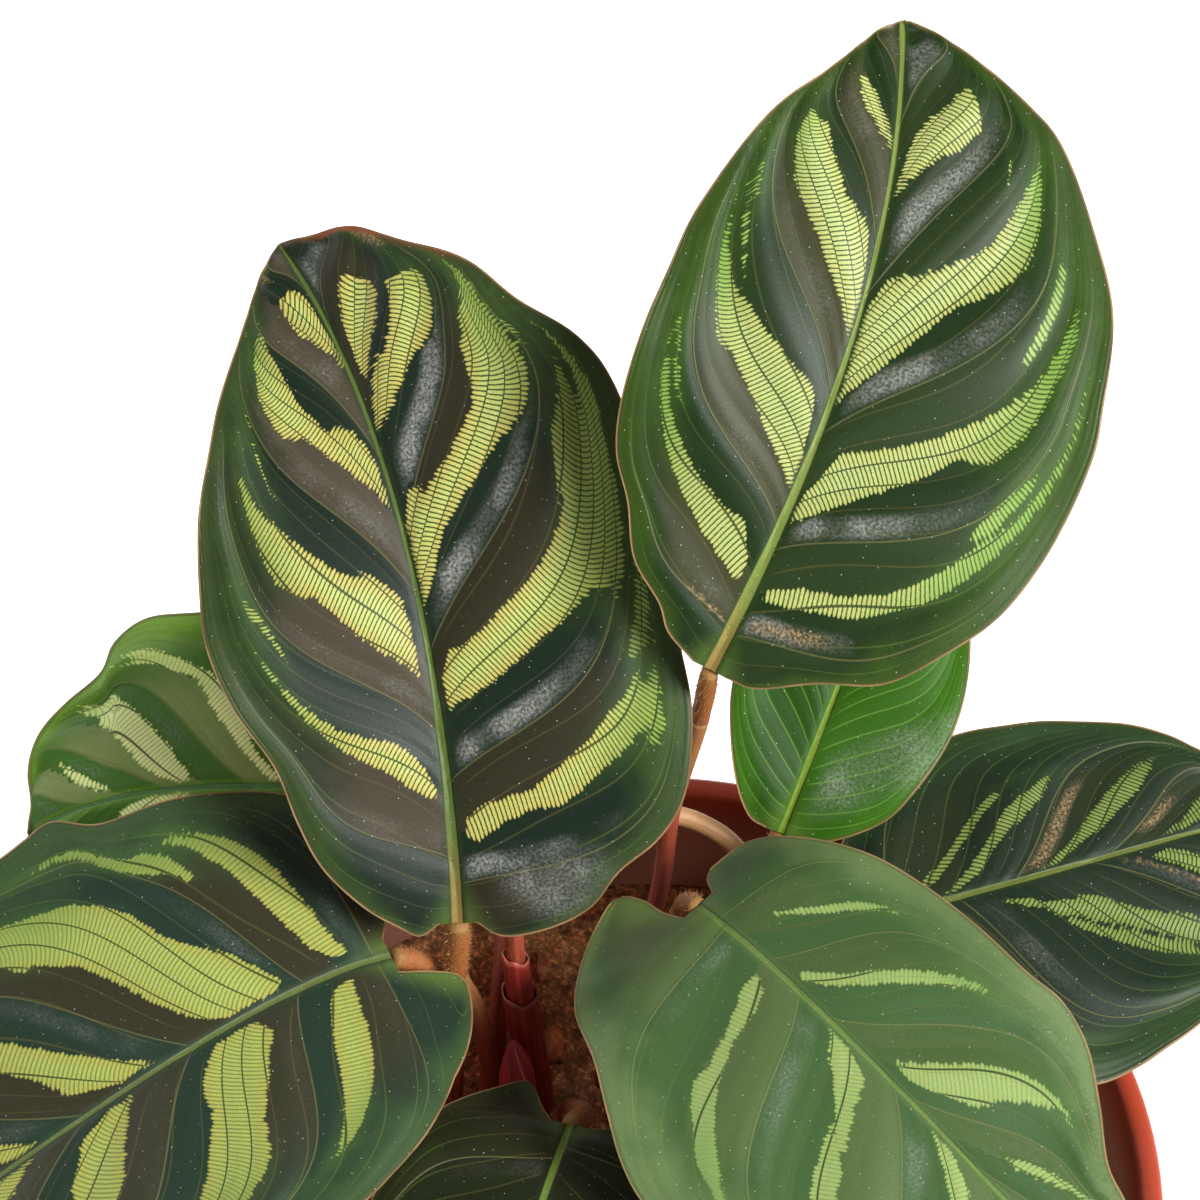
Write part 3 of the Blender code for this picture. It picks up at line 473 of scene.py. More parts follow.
class PotLook(PropertyGroup):
    """Sizes and colours of the pot."""

    steps: IntProperty(name="Sides", description="Sides of the turned pot", default=144, min=24, max=400)
    plastic: colour("Plastic", (156, 58, 34), "Terracotta-coloured plastic")
    # Painted light: the inside of the pot is painted much paler than the plastic outside, against the shade
    # in the pot
    inside: colour("Plastic inside", (176, 126, 102), "The plastic inside the pot")
    dust: colour("Dust", (206, 150, 120), "Dry water marks on the plastic")


class SoilLook(PropertyGroup):
    """Sizes and colours of the potting mix."""

    cell: length("Mesh cell", 0.8, "Pitch of the grid that the soil's surface is cut by")
    chips: IntProperty(
        name="Chips", description="Number of coir and bark chips", default=760, min=0, max=3000)
    strands: IntProperty(
        name="Strands", description="Number of coir strands", default=170, min=0, max=2000)
    peat: colour("Peat", (116, 80, 46), "Dark peat")
    peat_light: colour("Dry peat", (200, 138, 86), "Dry peat on the lumps")
    coir: colour("Coir", (206, 132, 80), "Coir and bark chips")
    coir_dark: colour("Dark coir", (132, 78, 46), "Damp chips")


class StageLook(PropertyGroup):
    """The floor, the lights and the camera."""

    floor: colour("Floor", (244, 244, 242), "Pale floor")
    key: FloatProperty(
        name="Key light", description="Power of the key light", default=30, min=0, unit="POWER")
    fill: FloatProperty(
        name="Fill light", description="Power of the fill light", default=7, min=0, unit="POWER")
    world: FloatProperty(
        name="World", description="Strength of the white surroundings", default=0.24, min=0)
    lens: FloatProperty(
        name="Lens", description="Focal length in mm on a sensor 36 mm wide", default=166.8, min=1)
    distance: length("Distance", 700, "From the camera to the plane through the pot's rim")
    elevation: FloatProperty(
        name="Elevation", description="How far the camera looks down", default=math.radians(52),
        subtype="ANGLE")


class Value:
    """A number that varies over a surface. Python's operators on it add Math nodes."""

    def __init__(self, finish, socket):
        self.finish = finish
        self.socket = socket

    def __add__(self, other):
        return self.finish.math("ADD", self, other)

    def __sub__(self, other):
        return self.finish.math("SUBTRACT", self, other)

    def __rsub__(self, other):
        return self.finish.math("SUBTRACT", other, self)

    def __mul__(self, other):
        return self.finish.math("MULTIPLY", self, other)

    def __truediv__(self, other):
        return self.finish.math("DIVIDE", self, other)

    def __rtruediv__(self, other):
        return self.finish.math("DIVIDE", other, self)

    def __abs__(self):
        return self.finish.math("ABSOLUTE", self)

    __radd__ = __add__
    __rmul__ = __mul__


class Finish:
    """One material, and the few ways in which its nodes are added."""

    def __init__(self, name, roughness=0.5, **constants):
        self.material = bpy.data.materials.new(name)
        self.material.use_nodes = True
        self.tree = self.material.node_tree
        self.tree.nodes.clear()
        self.shader = self.node("ShaderNodeBsdfPrincipled")
        output = self.node("ShaderNodeOutputMaterial")
        self.tree.links.new(self.shader.outputs[0], output.inputs[0])
        self.shader.inputs["Roughness"].default_value = roughness
        for socket, value in constants.items():
            self.shader.inputs[socket.replace("_", " ")].default_value = value

    def node(self, kind, settings=None, sockets=None):
        """Adds a node, sets its settings, and then fills or links its sockets."""
        made = self.tree.nodes.new(kind)
        for setting, value in (settings or {}).items():
            setattr(made, setting, value)
        for key, value in (sockets or {}).items():
            if isinstance(value, Value):
                self.tree.links.new(value.socket, made.inputs[key])
            elif isinstance(value, (tuple, list)) and len(value) == 3 and made.inputs[key].type == "RGBA":
                made.inputs[key].default_value = (*value, 1)
            else:
                made.inputs[key].default_value = value
        return made

    def value(self, kind, settings=None, sockets=None, output=0):
        return Value(self, self.node(kind, settings, sockets).outputs[output])

    def math(self, operation, *numbers):
        return self.value("ShaderNodeMath", {"operation": operation}, dict(enumerate(numbers)))

    def floor(self, number):
        return self.math("FLOOR", number)

    def least(self, a, b):
        return self.math("MINIMUM", a, b)

    def most(self, a, b):
        return self.math("MAXIMUM", a, b)

    def smooth(self, number, low, high):
        """0 at low and 1 at high, with soft ends."""
        sockets = {0: number, 1: low, 2: high, 3: 0.0, 4: 1.0}
        return self.value("ShaderNodeMapRange", {"interpolation_type": "SMOOTHSTEP"}, sockets)

    def band(self, number, middle, width):
        """1 at the middle, falling to 0 at a distance of width."""
        return self.smooth(abs(number - middle), width, 0.0)

    def mix(self, a, b, share):
        """The first colour, with a share of the second."""
        return self.value(
            "ShaderNodeMix", {"data_type": "RGBA"}, {0: share, 6: a, 7: b}, 2)

    def scaled(self, shade, amount):
        """A colour made lighter or darker."""
        return self.value(
            "ShaderNodeVectorMath", {"operation": "SCALE"}, {0: shade, 3: amount})

    def point(self, x, y, z=0.0):
        return self.value("ShaderNodeCombineXYZ", None, {0: x, 1: y, 2: z})

    def place(self, stretch=(1, 1, 1)):
        """The Object coordinates in millimetres."""
        read = Value(self, self.node("ShaderNodeTexCoord").outputs["Object"])
        scale = tuple(value / MM for value in stretch)
        return self.value("ShaderNodeMapping", None, {0: read, 3: scale})

    def field(self, name):
        return self.value("ShaderNodeAttribute", {"attribute_name": name}, None, 2)

    def noise(self, place, scale, detail=2.0, roughness=0.5):
        sockets = {"Vector": place, "Scale": scale, "Detail": detail, "Roughness": roughness}
        return self.value("ShaderNodeTexNoise", None, sockets)

    def chance(self, row, column):
        """A steady random number for each whole row and column."""
        return self.value(
            "ShaderNodeTexWhiteNoise", {"noise_dimensions": "2D"}, {"Vector": self.point(row, column)})

    def cells(self, place, scale, dimensions="2D"):
        """The distance to the nearest of many scattered points."""
        return self.value(
            "ShaderNodeTexVoronoi", {"voronoi_dimensions": dimensions}, {"Vector": place, "Scale": scale})

    def paint(self, shade, roughness=None, relief=None):
        """Links the colour, the roughness and the height in millimetres."""
        self.tree.links.new(shade.socket, self.shader.inputs["Base Color"])
        if roughness is not None:
            self.tree.links.new(roughness.socket, self.shader.inputs["Roughness"])
        if relief is not None:
            bump = self.node("ShaderNodeBump", None, {"Strength": 1.0, "Distance": MM, "Height": relief})
            self.tree.links.new(bump.outputs[0], self.shader.inputs["Normal"])
        return self.material


# The tones of each leaf: its green near the margin, the two sides of its dark blotches, the second of which
# is painted light and shade for one slope of a fold, the pale lines inside a patch, at its ends and near
# the margin, what lies between them, and the midrib. Painted sheen is how far its streaks of painted
# reflection show, and pitch is the distance between its lateral veins along the midrib. The tones also
# differ from leaf to leaf, in part as painted light and shade for how each leaf is lit.
TONES = {
    "tall_left": {
        "outer": (46, 62, 28), "deep": (20, 34, 22), "slope_shade_left": (62, 56, 43), "slope_shade_right": (40, 38, 23),
        "patch": (174, 182, 102), "ends": (180, 168, 90), "fringe": (128, 148, 68), "gap": (60, 78, 32),
        "rib": (82, 100, 44), "painted_sheen": 0.8, "pitch": 2.8},
    "tall_right": {
        "outer": (44, 66, 14), "deep": (22, 40, 12), "slope_shade_left": (52, 54, 30), "slope_shade_right": (32, 48, 18),
        "patch": (168, 176, 110), "ends": (170, 170, 100), "fringe": (116, 148, 64), "gap": (56, 88, 32),
        "rib": (112, 128, 60), "painted_sheen": 0.65, "pitch": 2.9},
    # back_left's tones are painted light: paler than the other leaves' to stand for the light on this leaf
    "back_left": {
        "outer": (132, 180, 58), "deep": (66, 112, 34),
        "slope_shade_left": (96, 136, 56), "slope_shade_right": (126, 146, 82),
        "patch": (246, 252, 186), "ends": (238, 248, 168), "fringe": (206, 236, 126), "gap": (196, 222, 124),
        "rib": (84, 128, 74), "painted_sheen": 0.25, "pitch": 2.6},
    "back_right": {
        "outer": (38, 58, 28), "deep": (24, 38, 24), "slope_shade_left": (32, 42, 24), "slope_shade_right": (28, 40, 26),
        "patch": (128, 142, 80), "ends": (112, 128, 62), "fringe": (100, 116, 58), "gap": (36, 58, 22),
        "rib": (94, 104, 46), "painted_sheen": 0.15, "pitch": 2.3},
    "front_left": {
        "outer": (52, 72, 40), "deep": (30, 46, 34), "slope_shade_left": (46, 46, 32), "slope_shade_right": (44, 42, 26),
        "patch": (150, 162, 82), "ends": (154, 152, 72), "fringe": (108, 132, 62), "gap": (112, 124, 60),
        "rib": (86, 98, 50), "painted_sheen": 0.12, "pitch": 3.1},
    "front_right": {
        "outer": (90, 110, 66), "deep": (56, 82, 44), "slope_shade_left": (64, 84, 44), "slope_shade_right": (72, 90, 50),
        "patch": (142, 156, 96), "ends": (136, 152, 86), "fringe": (110, 138, 74), "gap": (118, 146, 80),
        "rib": (94, 116, 58), "painted_sheen": 0.2, "pitch": 2.9},
    "front_middle": {
        "outer": (38, 44, 20), "deep": (26, 32, 14), "slope_shade_left": (30, 32, 14), "slope_shade_right": (32, 34, 16),
        "patch": (150, 170, 84), "ends": (150, 160, 74), "fringe": (110, 140, 60), "gap": (80, 100, 44),
        "rib": (96, 118, 48), "painted_sheen": 0.1, "pitch": 2.4},
    "young": {
        "outer": (54, 96, 22), "deep": (44, 84, 16), "slope_shade_left": (32, 66, 12), "slope_shade_right": (74, 112, 44),
        "patch": (120, 170, 70), "ends": (120, 170, 70), "fringe": (120, 170, 70), "gap": (70, 130, 40),
        "rib": (102, 124, 42), "painted_sheen": 0.55, "pitch": 1.7},
}


def leaf_finish(name, look):
    """The upper side of a blade, painted along its veins."""
    young = name == "young"
    tones = {key: tint(*value) for key, value in TONES[name].items() if isinstance(value, tuple)}
    finish = Finish(
        f"Leaf {name.replace('_', ' ')}", 0.4, IOR=1.42, Specular_IOR_Level=0.14 if young else 0.26)
    course, reach, slant, spread, share, patch, crease, scar, rim, out, along = (
        finish.field(key) for key in (
            "course", "reach", "slant", "spread", "share", "patch", "crease", "scar", "rim", "out", "along"))
    flat = finish.point(out, along)
    pitch = TONES[name]["pitch"]

    # Strips between lateral veins, and rows of cross lines in each strip
    strip = finish.floor(course)
    within = course - strip - 0.5
    to_vein = (0.5 - abs(within)) * spread * pitch
    thin = finish.least(spread, 1.0)
    grain = finish.noise(flat, 2.6, 3.0, 0.7)
    soft = finish.noise(flat, 0.14, 2.0)
    line = (reach + within * slant * pitch) / (look.line_pitch / MM) + grain * 0.35
    row = finish.floor(line)
    to_line = abs(line - row - 0.5)
    chance = finish.chance(row, strip)

    # Blotches: a deep side of each stout vein, and a second side painted in a greyer tone, painted light and
    # shade for the two slopes of its fold
    right = finish.smooth(out, -0.4, 0.4)
    deep_side = finish.smooth(crease * (right * 2.0 - 1.0), -0.35, 0.35)
    slope_shade = finish.mix(tones["slope_shade_left"], tones["slope_shade_right"], right)
    slope_shade_share = (1.0 - deep_side) * finish.smooth(share + soft * 0.4, 1.05, 0.7)
    outward = finish.smooth(share + soft * 0.4, 0.85, 1.2)
    ground = finish.mix(tones["deep"], tones["outer"], outward)
    ground = finish.mix(ground, slope_shade, slope_shade_share)
    lime = tint(84, 118, 46)
    near_patch = finish.smooth(patch, -2.2, 0.3) * finish.smooth(share, 0.4, 0.85)
    ground = finish.mix(ground, lime, near_patch * (0.0 if young else 0.18))

    # Painted sheen: speckled streaks of painted reflection along the deep side, standing for light off the
    # waxy leaf
    sheen_streak = finish.smooth(abs(crease - 1.5), 1.7, 0.3) * finish.smooth(share, 0.03, 0.12)
    sheen_streak = sheen_streak * finish.smooth(share + soft * 0.8, 1.15, 0.75) * (0.2 + right * 0.8)
    speckle = finish.smooth(grain, 0.36, 0.68)
    patchy = finish.smooth(soft, 0.4, 0.6)
    sheen_mask = sheen_streak * (0.25 + patchy * 0.75) * finish.smooth(patch, 0.0, -0.4)
    # The young leaf's painted sheen lies on its right half near the base
    if young:
        sheen_mask = finish.smooth(out, 1.0, 4.0) * finish.band(along - out * 0.8, 5.0, 6.5) * (0.4 + patchy * 0.6)
    # A painted glare on tall_left's right lobe near the base
    if name == "tall_left":
        lobe_glare = finish.band(out, 12.0, 9.0) * finish.band(along, 5.0, 5.5) * (0.4 + patchy * 0.6)
        sheen_mask = finish.most(sheen_mask, lobe_glare)
    ground = finish.mix(ground, tuple(look.painted_sheen), sheen_mask * (0.16 + speckle * 0.7) * TONES[name]["painted_sheen"])
    ground = finish.scaled(ground, 0.8 + grain * 0.4)

    # Faint veins outside the patches
    faint = finish.smooth(to_vein, thin * 0.13, thin * 0.04) * finish.smooth(share, 0.03, 0.12)
    faint = faint * finish.smooth(share, 0.96, 0.86) * finish.smooth(spread, 0.1, 0.3)
    if young:
        ground = finish.mix(ground, tint(112, 156, 62), faint * 0.32)
    else:
        vein_colour = finish.mix(tuple(look.vein_faint), tint(96, 122, 48), finish.smooth(share, 0.5, 0.9))
        ground = finish.mix(ground, vein_colour, faint * 0.26)
    stout = finish.smooth(abs(crease), 0.15, 0.05) * finish.smooth(share, 0.96, 0.85)
    ground = finish.mix(ground, tuple(look.vein_stout), stout * (0.0 if young else 0.32))

    # Pale patches: lines that end in points, broken at each lateral vein
    depth = patch + (chance - 0.5) * 0.34
    full = finish.smooth(depth, 0.0, 0.42)
    width = 0.16 + full * 0.17
    painted = finish.smooth(to_line, width + 0.1, width - 0.1) * finish.smooth(depth, -0.08, 0.14)
    centre = finish.smooth(patch, 0.2, 2.2)
    pale = finish.mix(tones["ends"], tones["patch"], centre)
    pale = finish.mix(pale, tones["fringe"], finish.smooth(share + soft * 0.2, 0.55, 0.95))
    pale = finish.scaled(pale, 0.86 + grain * 0.28)
    gap = finish.mix(ground, tones["gap"], full * 0.85)
    shade = finish.mix(gap, pale, painted)
    dark_vein = finish.smooth(to_vein, thin * 0.17, thin * 0.07) * finish.smooth(patch, -0.1, 0.4)
    shade = finish.mix(shade, tuple(look.vein_dark), dark_vein * 0.85)

    # Dry scars, and the midrib with its darker flanks and the pale glow round the leaf's base
    dry = finish.mix(tint(84, 62, 36), tint(156, 134, 98), speckle)
    shade = finish.mix(shade, dry, scar * (0.35 + speckle * 0.6))
    beside = abs(out)
    glow = finish.smooth(along + beside * 1.6, 9.0, -1.0)
    shade = finish.mix(shade, tint(104, 132, 56), glow * 0.5)
    half_width = 0.3 + finish.smooth(along, 48.0, -2.0) * (0.46 if name.startswith("tall") else 0.16)
    flank = finish.smooth(beside, half_width + 0.8, half_width + 0.1)
    shade = finish.mix(shade, finish.mix(tones["deep"], tones["outer"], 0.5), flank * 0.6)
    rib = finish.smooth(beside, half_width + 0.1, half_width - 0.14)
    rib_base = tint(132, 108, 58) if name.startswith("tall") else tones["rib"]
    rib_colour = finish.mix(tones["rib"], rib_base, finish.smooth(along, 13.0, -1.0))
    shade = finish.mix(shade, finish.scaled(rib_colour, 0.8 + grain * 0.4), rib * 0.9)

    # Dry margin and dust
    shade = finish.mix(shade, tint(70, 58, 32), finish.smooth(rim, 0.6, 0.3) * 0.45)
    shade = finish.mix(shade, tuple(look.margin), finish.smooth(rim, 0.28, 0.13) * (0.4 + patchy * 0.4))
    if name == "tall_left":
        tip = finish.smooth(along, 69.0, 77.0) * right
        scorch = finish.smooth(rim, 1.0, 0.2) * tip * (0.35 + patchy * 0.65)
        shade = finish.mix(shade, tint(118, 66, 38), scorch)
    speck = finish.smooth(finish.cells(flat, 0.55), 0.045, 0.02) * finish.smooth(grain, 0.5, 0.6)
    shade = finish.mix(shade, tuple(look.dust), speck * 0.6)

    roughness = 0.38 - deep_side * 0.03 + grain * 0.16 + sheen_mask * 0.12
    pillow = finish.math("COSINE", within * (2 * math.pi)) * thin * 0.022
    height = pillow + stout * 0.04 - rib * 0.1 + grain * 0.022 - finish.smooth(beside, 1.2, 0.3) * 0.04
    return finish.paint(shade, roughness, height)


def underside_finish(name, look):
    """The lower side of a blade: burgundy, paler below the patches."""
    finish = Finish(f"Underside {name.replace('_', ' ')}", 0.5, IOR=1.42)
    course, spread, share, patch, out, along = (
        finish.field(key) for key in ("course", "spread", "share", "patch", "out", "along"))
    flat = finish.point(out, along)
    within = course - finish.floor(course) - 0.5
    to_vein = (0.5 - abs(within)) * spread * TONES[name]["pitch"]
    grain = finish.noise(flat, 1.6, 3.0, 0.6)
    young = name == "young"
    base = tint(104, 128, 74) if young else tuple(look.underside)
    pale = tint(128, 152, 92) if young else tuple(look.underside_pale)
    shade = finish.mix(base, pale, finish.smooth(patch, -0.6, 1.2) * 0.8)
    shade = finish.mix(shade, tint(122, 70, 62), finish.smooth(share, 0.75, 1.0) * 0.35)
    shade = finish.scaled(shade, 0.8 + grain * 0.4)
    shade = finish.mix(shade, tint(150, 96, 84), finish.smooth(to_vein, 0.16, 0.05) * 0.45)
    beside = abs(out)
    half_width = 0.55 + finish.smooth(along, 30.0, 0.0) * 0.5
    rib = finish.smooth(beside, half_width + 0.15, half_width - 0.1)
    shade = finish.mix(shade, tint(150, 128, 84), rib * 0.9)
    height = finish.smooth(to_vein, 0.4, 0.0) * 0.08 + grain * 0.02
    return finish.paint(shade, 0.46 + grain * 0.12, height)


def bezier(corners, t):
    a, b, c, d = np.asarray(corners, float)
    t = np.asarray(t, float)[..., None]
    return (1 - t) ** 3 * a + 3 * t * (1 - t) ** 2 * b + 3 * t * t * (1 - t) * c + t ** 3 * d


def smooth_course(points, fractions):
    """A smooth curve through the points, read at fractions of its length."""
    knots = np.asarray(points, float)
    ends = np.vstack([2 * knots[0] - knots[1], knots, 2 * knots[-1] - knots[-2]])
    stretches = []
    t = np.linspace(0, 1, SPLINE_STEPS, endpoint=False)[:, None]
    for a, b, c, d in zip(ends, ends[1:], ends[2:], ends[3:]):
        line = 2 * b + (c - a) * t
        bend = (2 * a - 5 * b + 4 * c - d) * t ** 2 + (3 * b - a - 3 * c + d) * t ** 3
        stretches.append((line + bend) / 2)
    course = np.vstack([*stretches, knots[-1:]])
    steps = np.linalg.norm(np.diff(course, axis=0), axis=1)
    run = np.concatenate([[0], np.cumsum(steps)]) / steps.sum()
    return np.stack([np.interp(fractions, run, column) for column in course.T], axis=-1)


def soft_step(value, low, high):
    """0 at low and 1 at high, with soft ends."""
    t = np.clip((value - low) / (high - low), 0, 1)
    return t * t * (3 - 2 * t)


class Blade:
    """The curved face of one leaf, on which a point is so far out from the midrib and along it."""

    def __init__(self, leaf):
        self.leaf = leaf
        self.rib = bezier(leaf["midrib"], np.linspace(0, 1, MIDRIB_STEPS + 1))
        steps = np.linalg.norm(np.diff(self.rib, axis=0), axis=1)
        self.along = np.concatenate([[0], np.cumsum(steps)])
        self.length = self.along[-1]
        forward = np.gradient(self.rib, self.along, axis=0)
        self.forward = forward / np.linalg.norm(forward, axis=1)[:, None]
        base, tip = np.asarray(leaf["faces"], float)
        face = base + (tip - base) * (self.along / self.length)[:, None]
        side = np.cross(self.forward, face)
        self.side = side / np.linalg.norm(side, axis=1)[:, None]
        self.up = np.cross(self.side, self.forward)

    def margin(self, side, count):
        """One margin from the notch to the tip."""
        stretch = self.length / self.leaf[side][-1][1]
        hand = -1 if side == "left" else 1
        return smooth_course(self.leaf[side], np.linspace(0, 1, count)) * [hand, stretch]

    def width(self, side, along):
        """The width of one half, outside its lobe."""
        edge = self.margin(side, 200)
        rising = edge[np.argmin(edge[:100, 1]):]
        return np.interp(along, rising[:, 1], np.abs(rising[:, 0]))

    def across(self, out, along):
        """How far out a point is, as a share of the half's width there: 1 on the margin."""
        width = np.where(out < 0, self.width("left", along), self.width("right", along))
        return np.clip(np.abs(out) / np.maximum(width, 0.5), 0, 1)

    def vein(self, share, along):
        """Where the vein through a point leaves the midrib."""
        start = VEIN_START[0] * (1 - (1 - share) ** VEIN_START[1])
        climbed = start + VEIN_SPREAD * share + VEIN_END[0] * share ** VEIN_END[1]
        gathered = self.length * np.clip(along / self.length, 0, 1) ** VEIN_GATHER
        return along * (1 - climbed) + gathered * climbed

    def relief(self, out, along):
        """The waves of the margin and the soft quilting between the veins."""
        share = self.across(out, along)
        progress = np.clip(along / self.length, 0, 1)
        height = np.where(out < 0, *self.leaf["wave"])
        turn = 2 * math.pi * (self.leaf["waves"] * progress + 0.3 * (out < 0))
        wave = height * share ** 3 * np.sin(turn) * np.sin(math.pi * progress)
        ridges = np.sin(2 * math.pi * self.vein(share, along) / QUILT_PITCH)
        return wave + QUILT_HEIGHT * ridges * np.sin(math.pi * share)

    def surface(self, out, along):
        """The point of the blade that lies so far out from the midrib and along it."""
        read = [
            np.stack([np.interp(along, self.along, column) for column in rows.T], axis=-1)
            for rows in (self.rib, self.forward, self.side, self.up)
        ]
        rib, forward, side, up = read
        beyond = np.minimum(along, 0) + np.maximum(along - self.length, 0)
        fold = np.radians(np.where(out < 0, *self.leaf["fold"]))
        lift = np.abs(out) * np.sin(fold) - CURL * out ** 2 + self.relief(out, along)
        sideways = side * (out * np.cos(fold))[..., None]
        return rib + forward * beyond[..., None] + sideways + up * lift[..., None]

    def normal(self, out, along):
        step = 0.3
        across = self.surface(out + step, along) - self.surface(out - step, along)
        onward = self.surface(out, along + step) - self.surface(out, along - step)
        facing = np.cross(across, onward)
        return facing / np.linalg.norm(facing, axis=1)[:, None]


class VeinMap:
    """The lateral veins of one half of a blade, traced from the midrib to the margin."""

    def __init__(self, blade, side):
        hand = -1 if side == "left" else 1
        self.shares = np.linspace(0, 0.985, 90)
        self.stations = np.linspace(-8, blade.length, 320)
        reading = np.linspace(-14, blade.length, 1200)
        width = blade.width(side, reading)
        places = []
        for share in self.shares:
            along = np.interp(self.stations, blade.vein(share, reading), reading)
            places.append(np.stack([hand * share * np.interp(along, reading, width), along], axis=-1))
        places = np.array(places)
        steps = np.linalg.norm(np.diff(places, axis=0), axis=2)
        reach = np.concatenate([np.zeros((1, len(self.stations))), np.cumsum(steps, axis=0)])
        onward = np.gradient(places, self.shares, axis=0)
        onward /= np.maximum(np.linalg.norm(onward, axis=2), 1e-6)[..., None]
        next_vein = np.gradient(places, self.stations, axis=1)
        slant = (next_vein * onward).sum(axis=2) - np.gradient(reach, self.stations, axis=1)
        spread = np.abs(next_vein[..., 0] * onward[..., 1] - next_vein[..., 1] * onward[..., 0])
        self.tables = {"reach": reach, "slant": slant, "spread": spread}

    def read(self, name, share, station):
        table = self.tables[name]
        row = np.clip(share / self.shares[1], 0, len(self.shares) - 1.001)
        step = self.stations[1] - self.stations[0]
        column = np.clip((station - self.stations[0]) / step, 0, len(self.stations) - 1.001)
        i, j = row.astype(int), column.astype(int)
        a, b = row - i, column - j
        return ((table[i, j] * (1 - a) + table[i + 1, j] * a) * (1 - b)
                + (table[i, j + 1] * (1 - a) + table[i + 1, j + 1] * a) * b)


def patch_depth(patches, share, station, spread, width, strips):
    """How deep inside a pale patch a point is, in millimetres, and less than 0 outside."""
    depth = np.full(len(share), -20.0)
    for knots in patches:
        shares, low, high = np.array(knots, float).T
        stepped = share + 0.045 * strips * soft_step(share, 0.04, 0.16)
        low_here = np.interp(stepped, shares, low)
        high_here = np.interp(stepped, shares, high)
        side = np.minimum(station - low_here, high_here - station) * np.maximum(spread, 0.25)
        ends = np.minimum(stepped - shares[0], shares[-1] - stepped) * width * 1.2
        depth = np.maximum(depth, np.minimum(side, ends))
    return depth


def leaf_fields(name, blade, out, along, look):
    """What a leaf's finish reads at each vertex."""
    share = blade.across(out, along)
    station = blade.vein(share, along)
    drift = 0.3 * np.sin(station / 3.1) + 0.25 * np.sin(station / 4.7 + 5 * share)
    fields = {"out": out, "along": along, "share": share, "course": station / TONES[name]["pitch"] + drift}
    for key in ("reach", "slant", "spread", "patch", "crease", "scar"):
        fields[key] = np.zeros(len(out))
    chance = np.random.default_rng(sorted(LEAVES).index(name) + 3)
    for side in ("left", "right"):
        here = out < 0 if side == "left" else out >= 0
        veins = VeinMap(blade, side)
        for key in ("reach", "slant", "spread"):
            fields[key][here] = veins.read(key, share[here], station[here])
        steps = chance.uniform(-1, 1, 80)
        strips = steps[np.clip(np.floor(fields["course"][here]).astype(int) + 12, 0, 79)]
        fields["patch"][here] = patch_depth(
            PATCHES[name][side], share[here], station[here], fields["spread"][here],
            blade.width(side, along[here]), strips)
        stout = np.array(STOUT_VEINS[name][side], float)
        nearest = stout[np.argmin(np.abs(station[here][:, None] - stout), axis=1)]
        fields["crease"][here] = (station[here] - nearest) * np.maximum(fields["spread"][here], 0.12)
        for scar_side, at, start, end, width in SCARS.get(name, ()):
            if scar_side != side:
                continue
            beside = np.abs(station[here] - at) * fields["spread"][here]
            begun = soft_step(share[here], start - 0.04, start + 0.04)
            unended = soft_step(share[here], end + 0.08, end - 0.08)
            mark = soft_step(beside, width, width * 0.3) * begun * unended
            fields["scar"][here] = np.maximum(fields["scar"][here], mark)
    outline = np.vstack([blade.margin("right", 300), blade.margin("left", 300)[::-1]])
    fields["rim"] = distance_to_line(np.stack([out, along], axis=1), outline)
    return fields


def distance_to_line(points, line):
    """The distance from each point to the nearest place of a line of points."""
    least = np.full(len(points), 1e9)
    for start, end in zip(line, line[1:]):
        run = end - start
        size = run @ run
        if size == 0:
            continue
        share = np.clip((points - start) @ run / size, 0, 1)[:, None]
        least = np.minimum(least, np.linalg.norm(points - start - share * run, axis=1))
    return least


def deselect():
    if bpy.context.mode != "OBJECT":
        bpy.ops.object.mode_set(mode="OBJECT")
    bpy.ops.object.select_all(action="DESELECT")


def apply_modifiers(item):
    deselect()
    bpy.context.view_layer.objects.active = item
    item.select_set(True)
    for modifier in list(item.modifiers):
        bpy.ops.object.modifier_apply(modifier=modifier.name)


def positions(item):
    flat = np.empty(len(item.data.vertices) * 3)
    item.data.vertices.foreach_get("co", flat)
    return flat.reshape(-1, 3) / MM


def move_to(item, points):
    item.data.vertices.foreach_set("co", (np.asarray(points, float) * MM).ravel())
    item.data.update()


def named(item, name, *finishes):
    """Names a finished piece, and lets it ride on the plant."""
    item.name = name
    item.data.name = name
    item.data.materials.clear()
    for finish in finishes:
        item.data.materials.append(finish)
    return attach(item, "root")


def sliced_sheet(outline, cuts_out, cuts_along):
    """A flat sheet with this outline, cut along lines across and along it."""
    deselect()
    bpy.ops.mesh.primitive_circle_add(vertices=len(outline), radius=1, fill_type="NGON")
    item = bpy.context.object
    move_to(item, np.column_stack([outline, np.zeros(len(outline))]))
    bpy.ops.object.mode_set(mode="EDIT")
    for axis, cuts in ((0, cuts_out), (1, cuts_along)):
        normal = (1, 0, 0) if axis == 0 else (0, 1, 0)
        for cut in cuts:
            bpy.ops.mesh.select_all(action="SELECT")
            place = [0, 0, 0]
            place[axis] = cut * MM
            bpy.ops.mesh.bisect(plane_co=place, plane_no=normal, threshold=0.00002)
    bpy.ops.mesh.select_all(action="SELECT")
    bpy.ops.mesh.normals_make_consistent(inside=False)
    bpy.ops.object.mode_set(mode="OBJECT")
    if item.data.polygons[0].normal.z < 0:
        item.data.flip_normals()
    return item


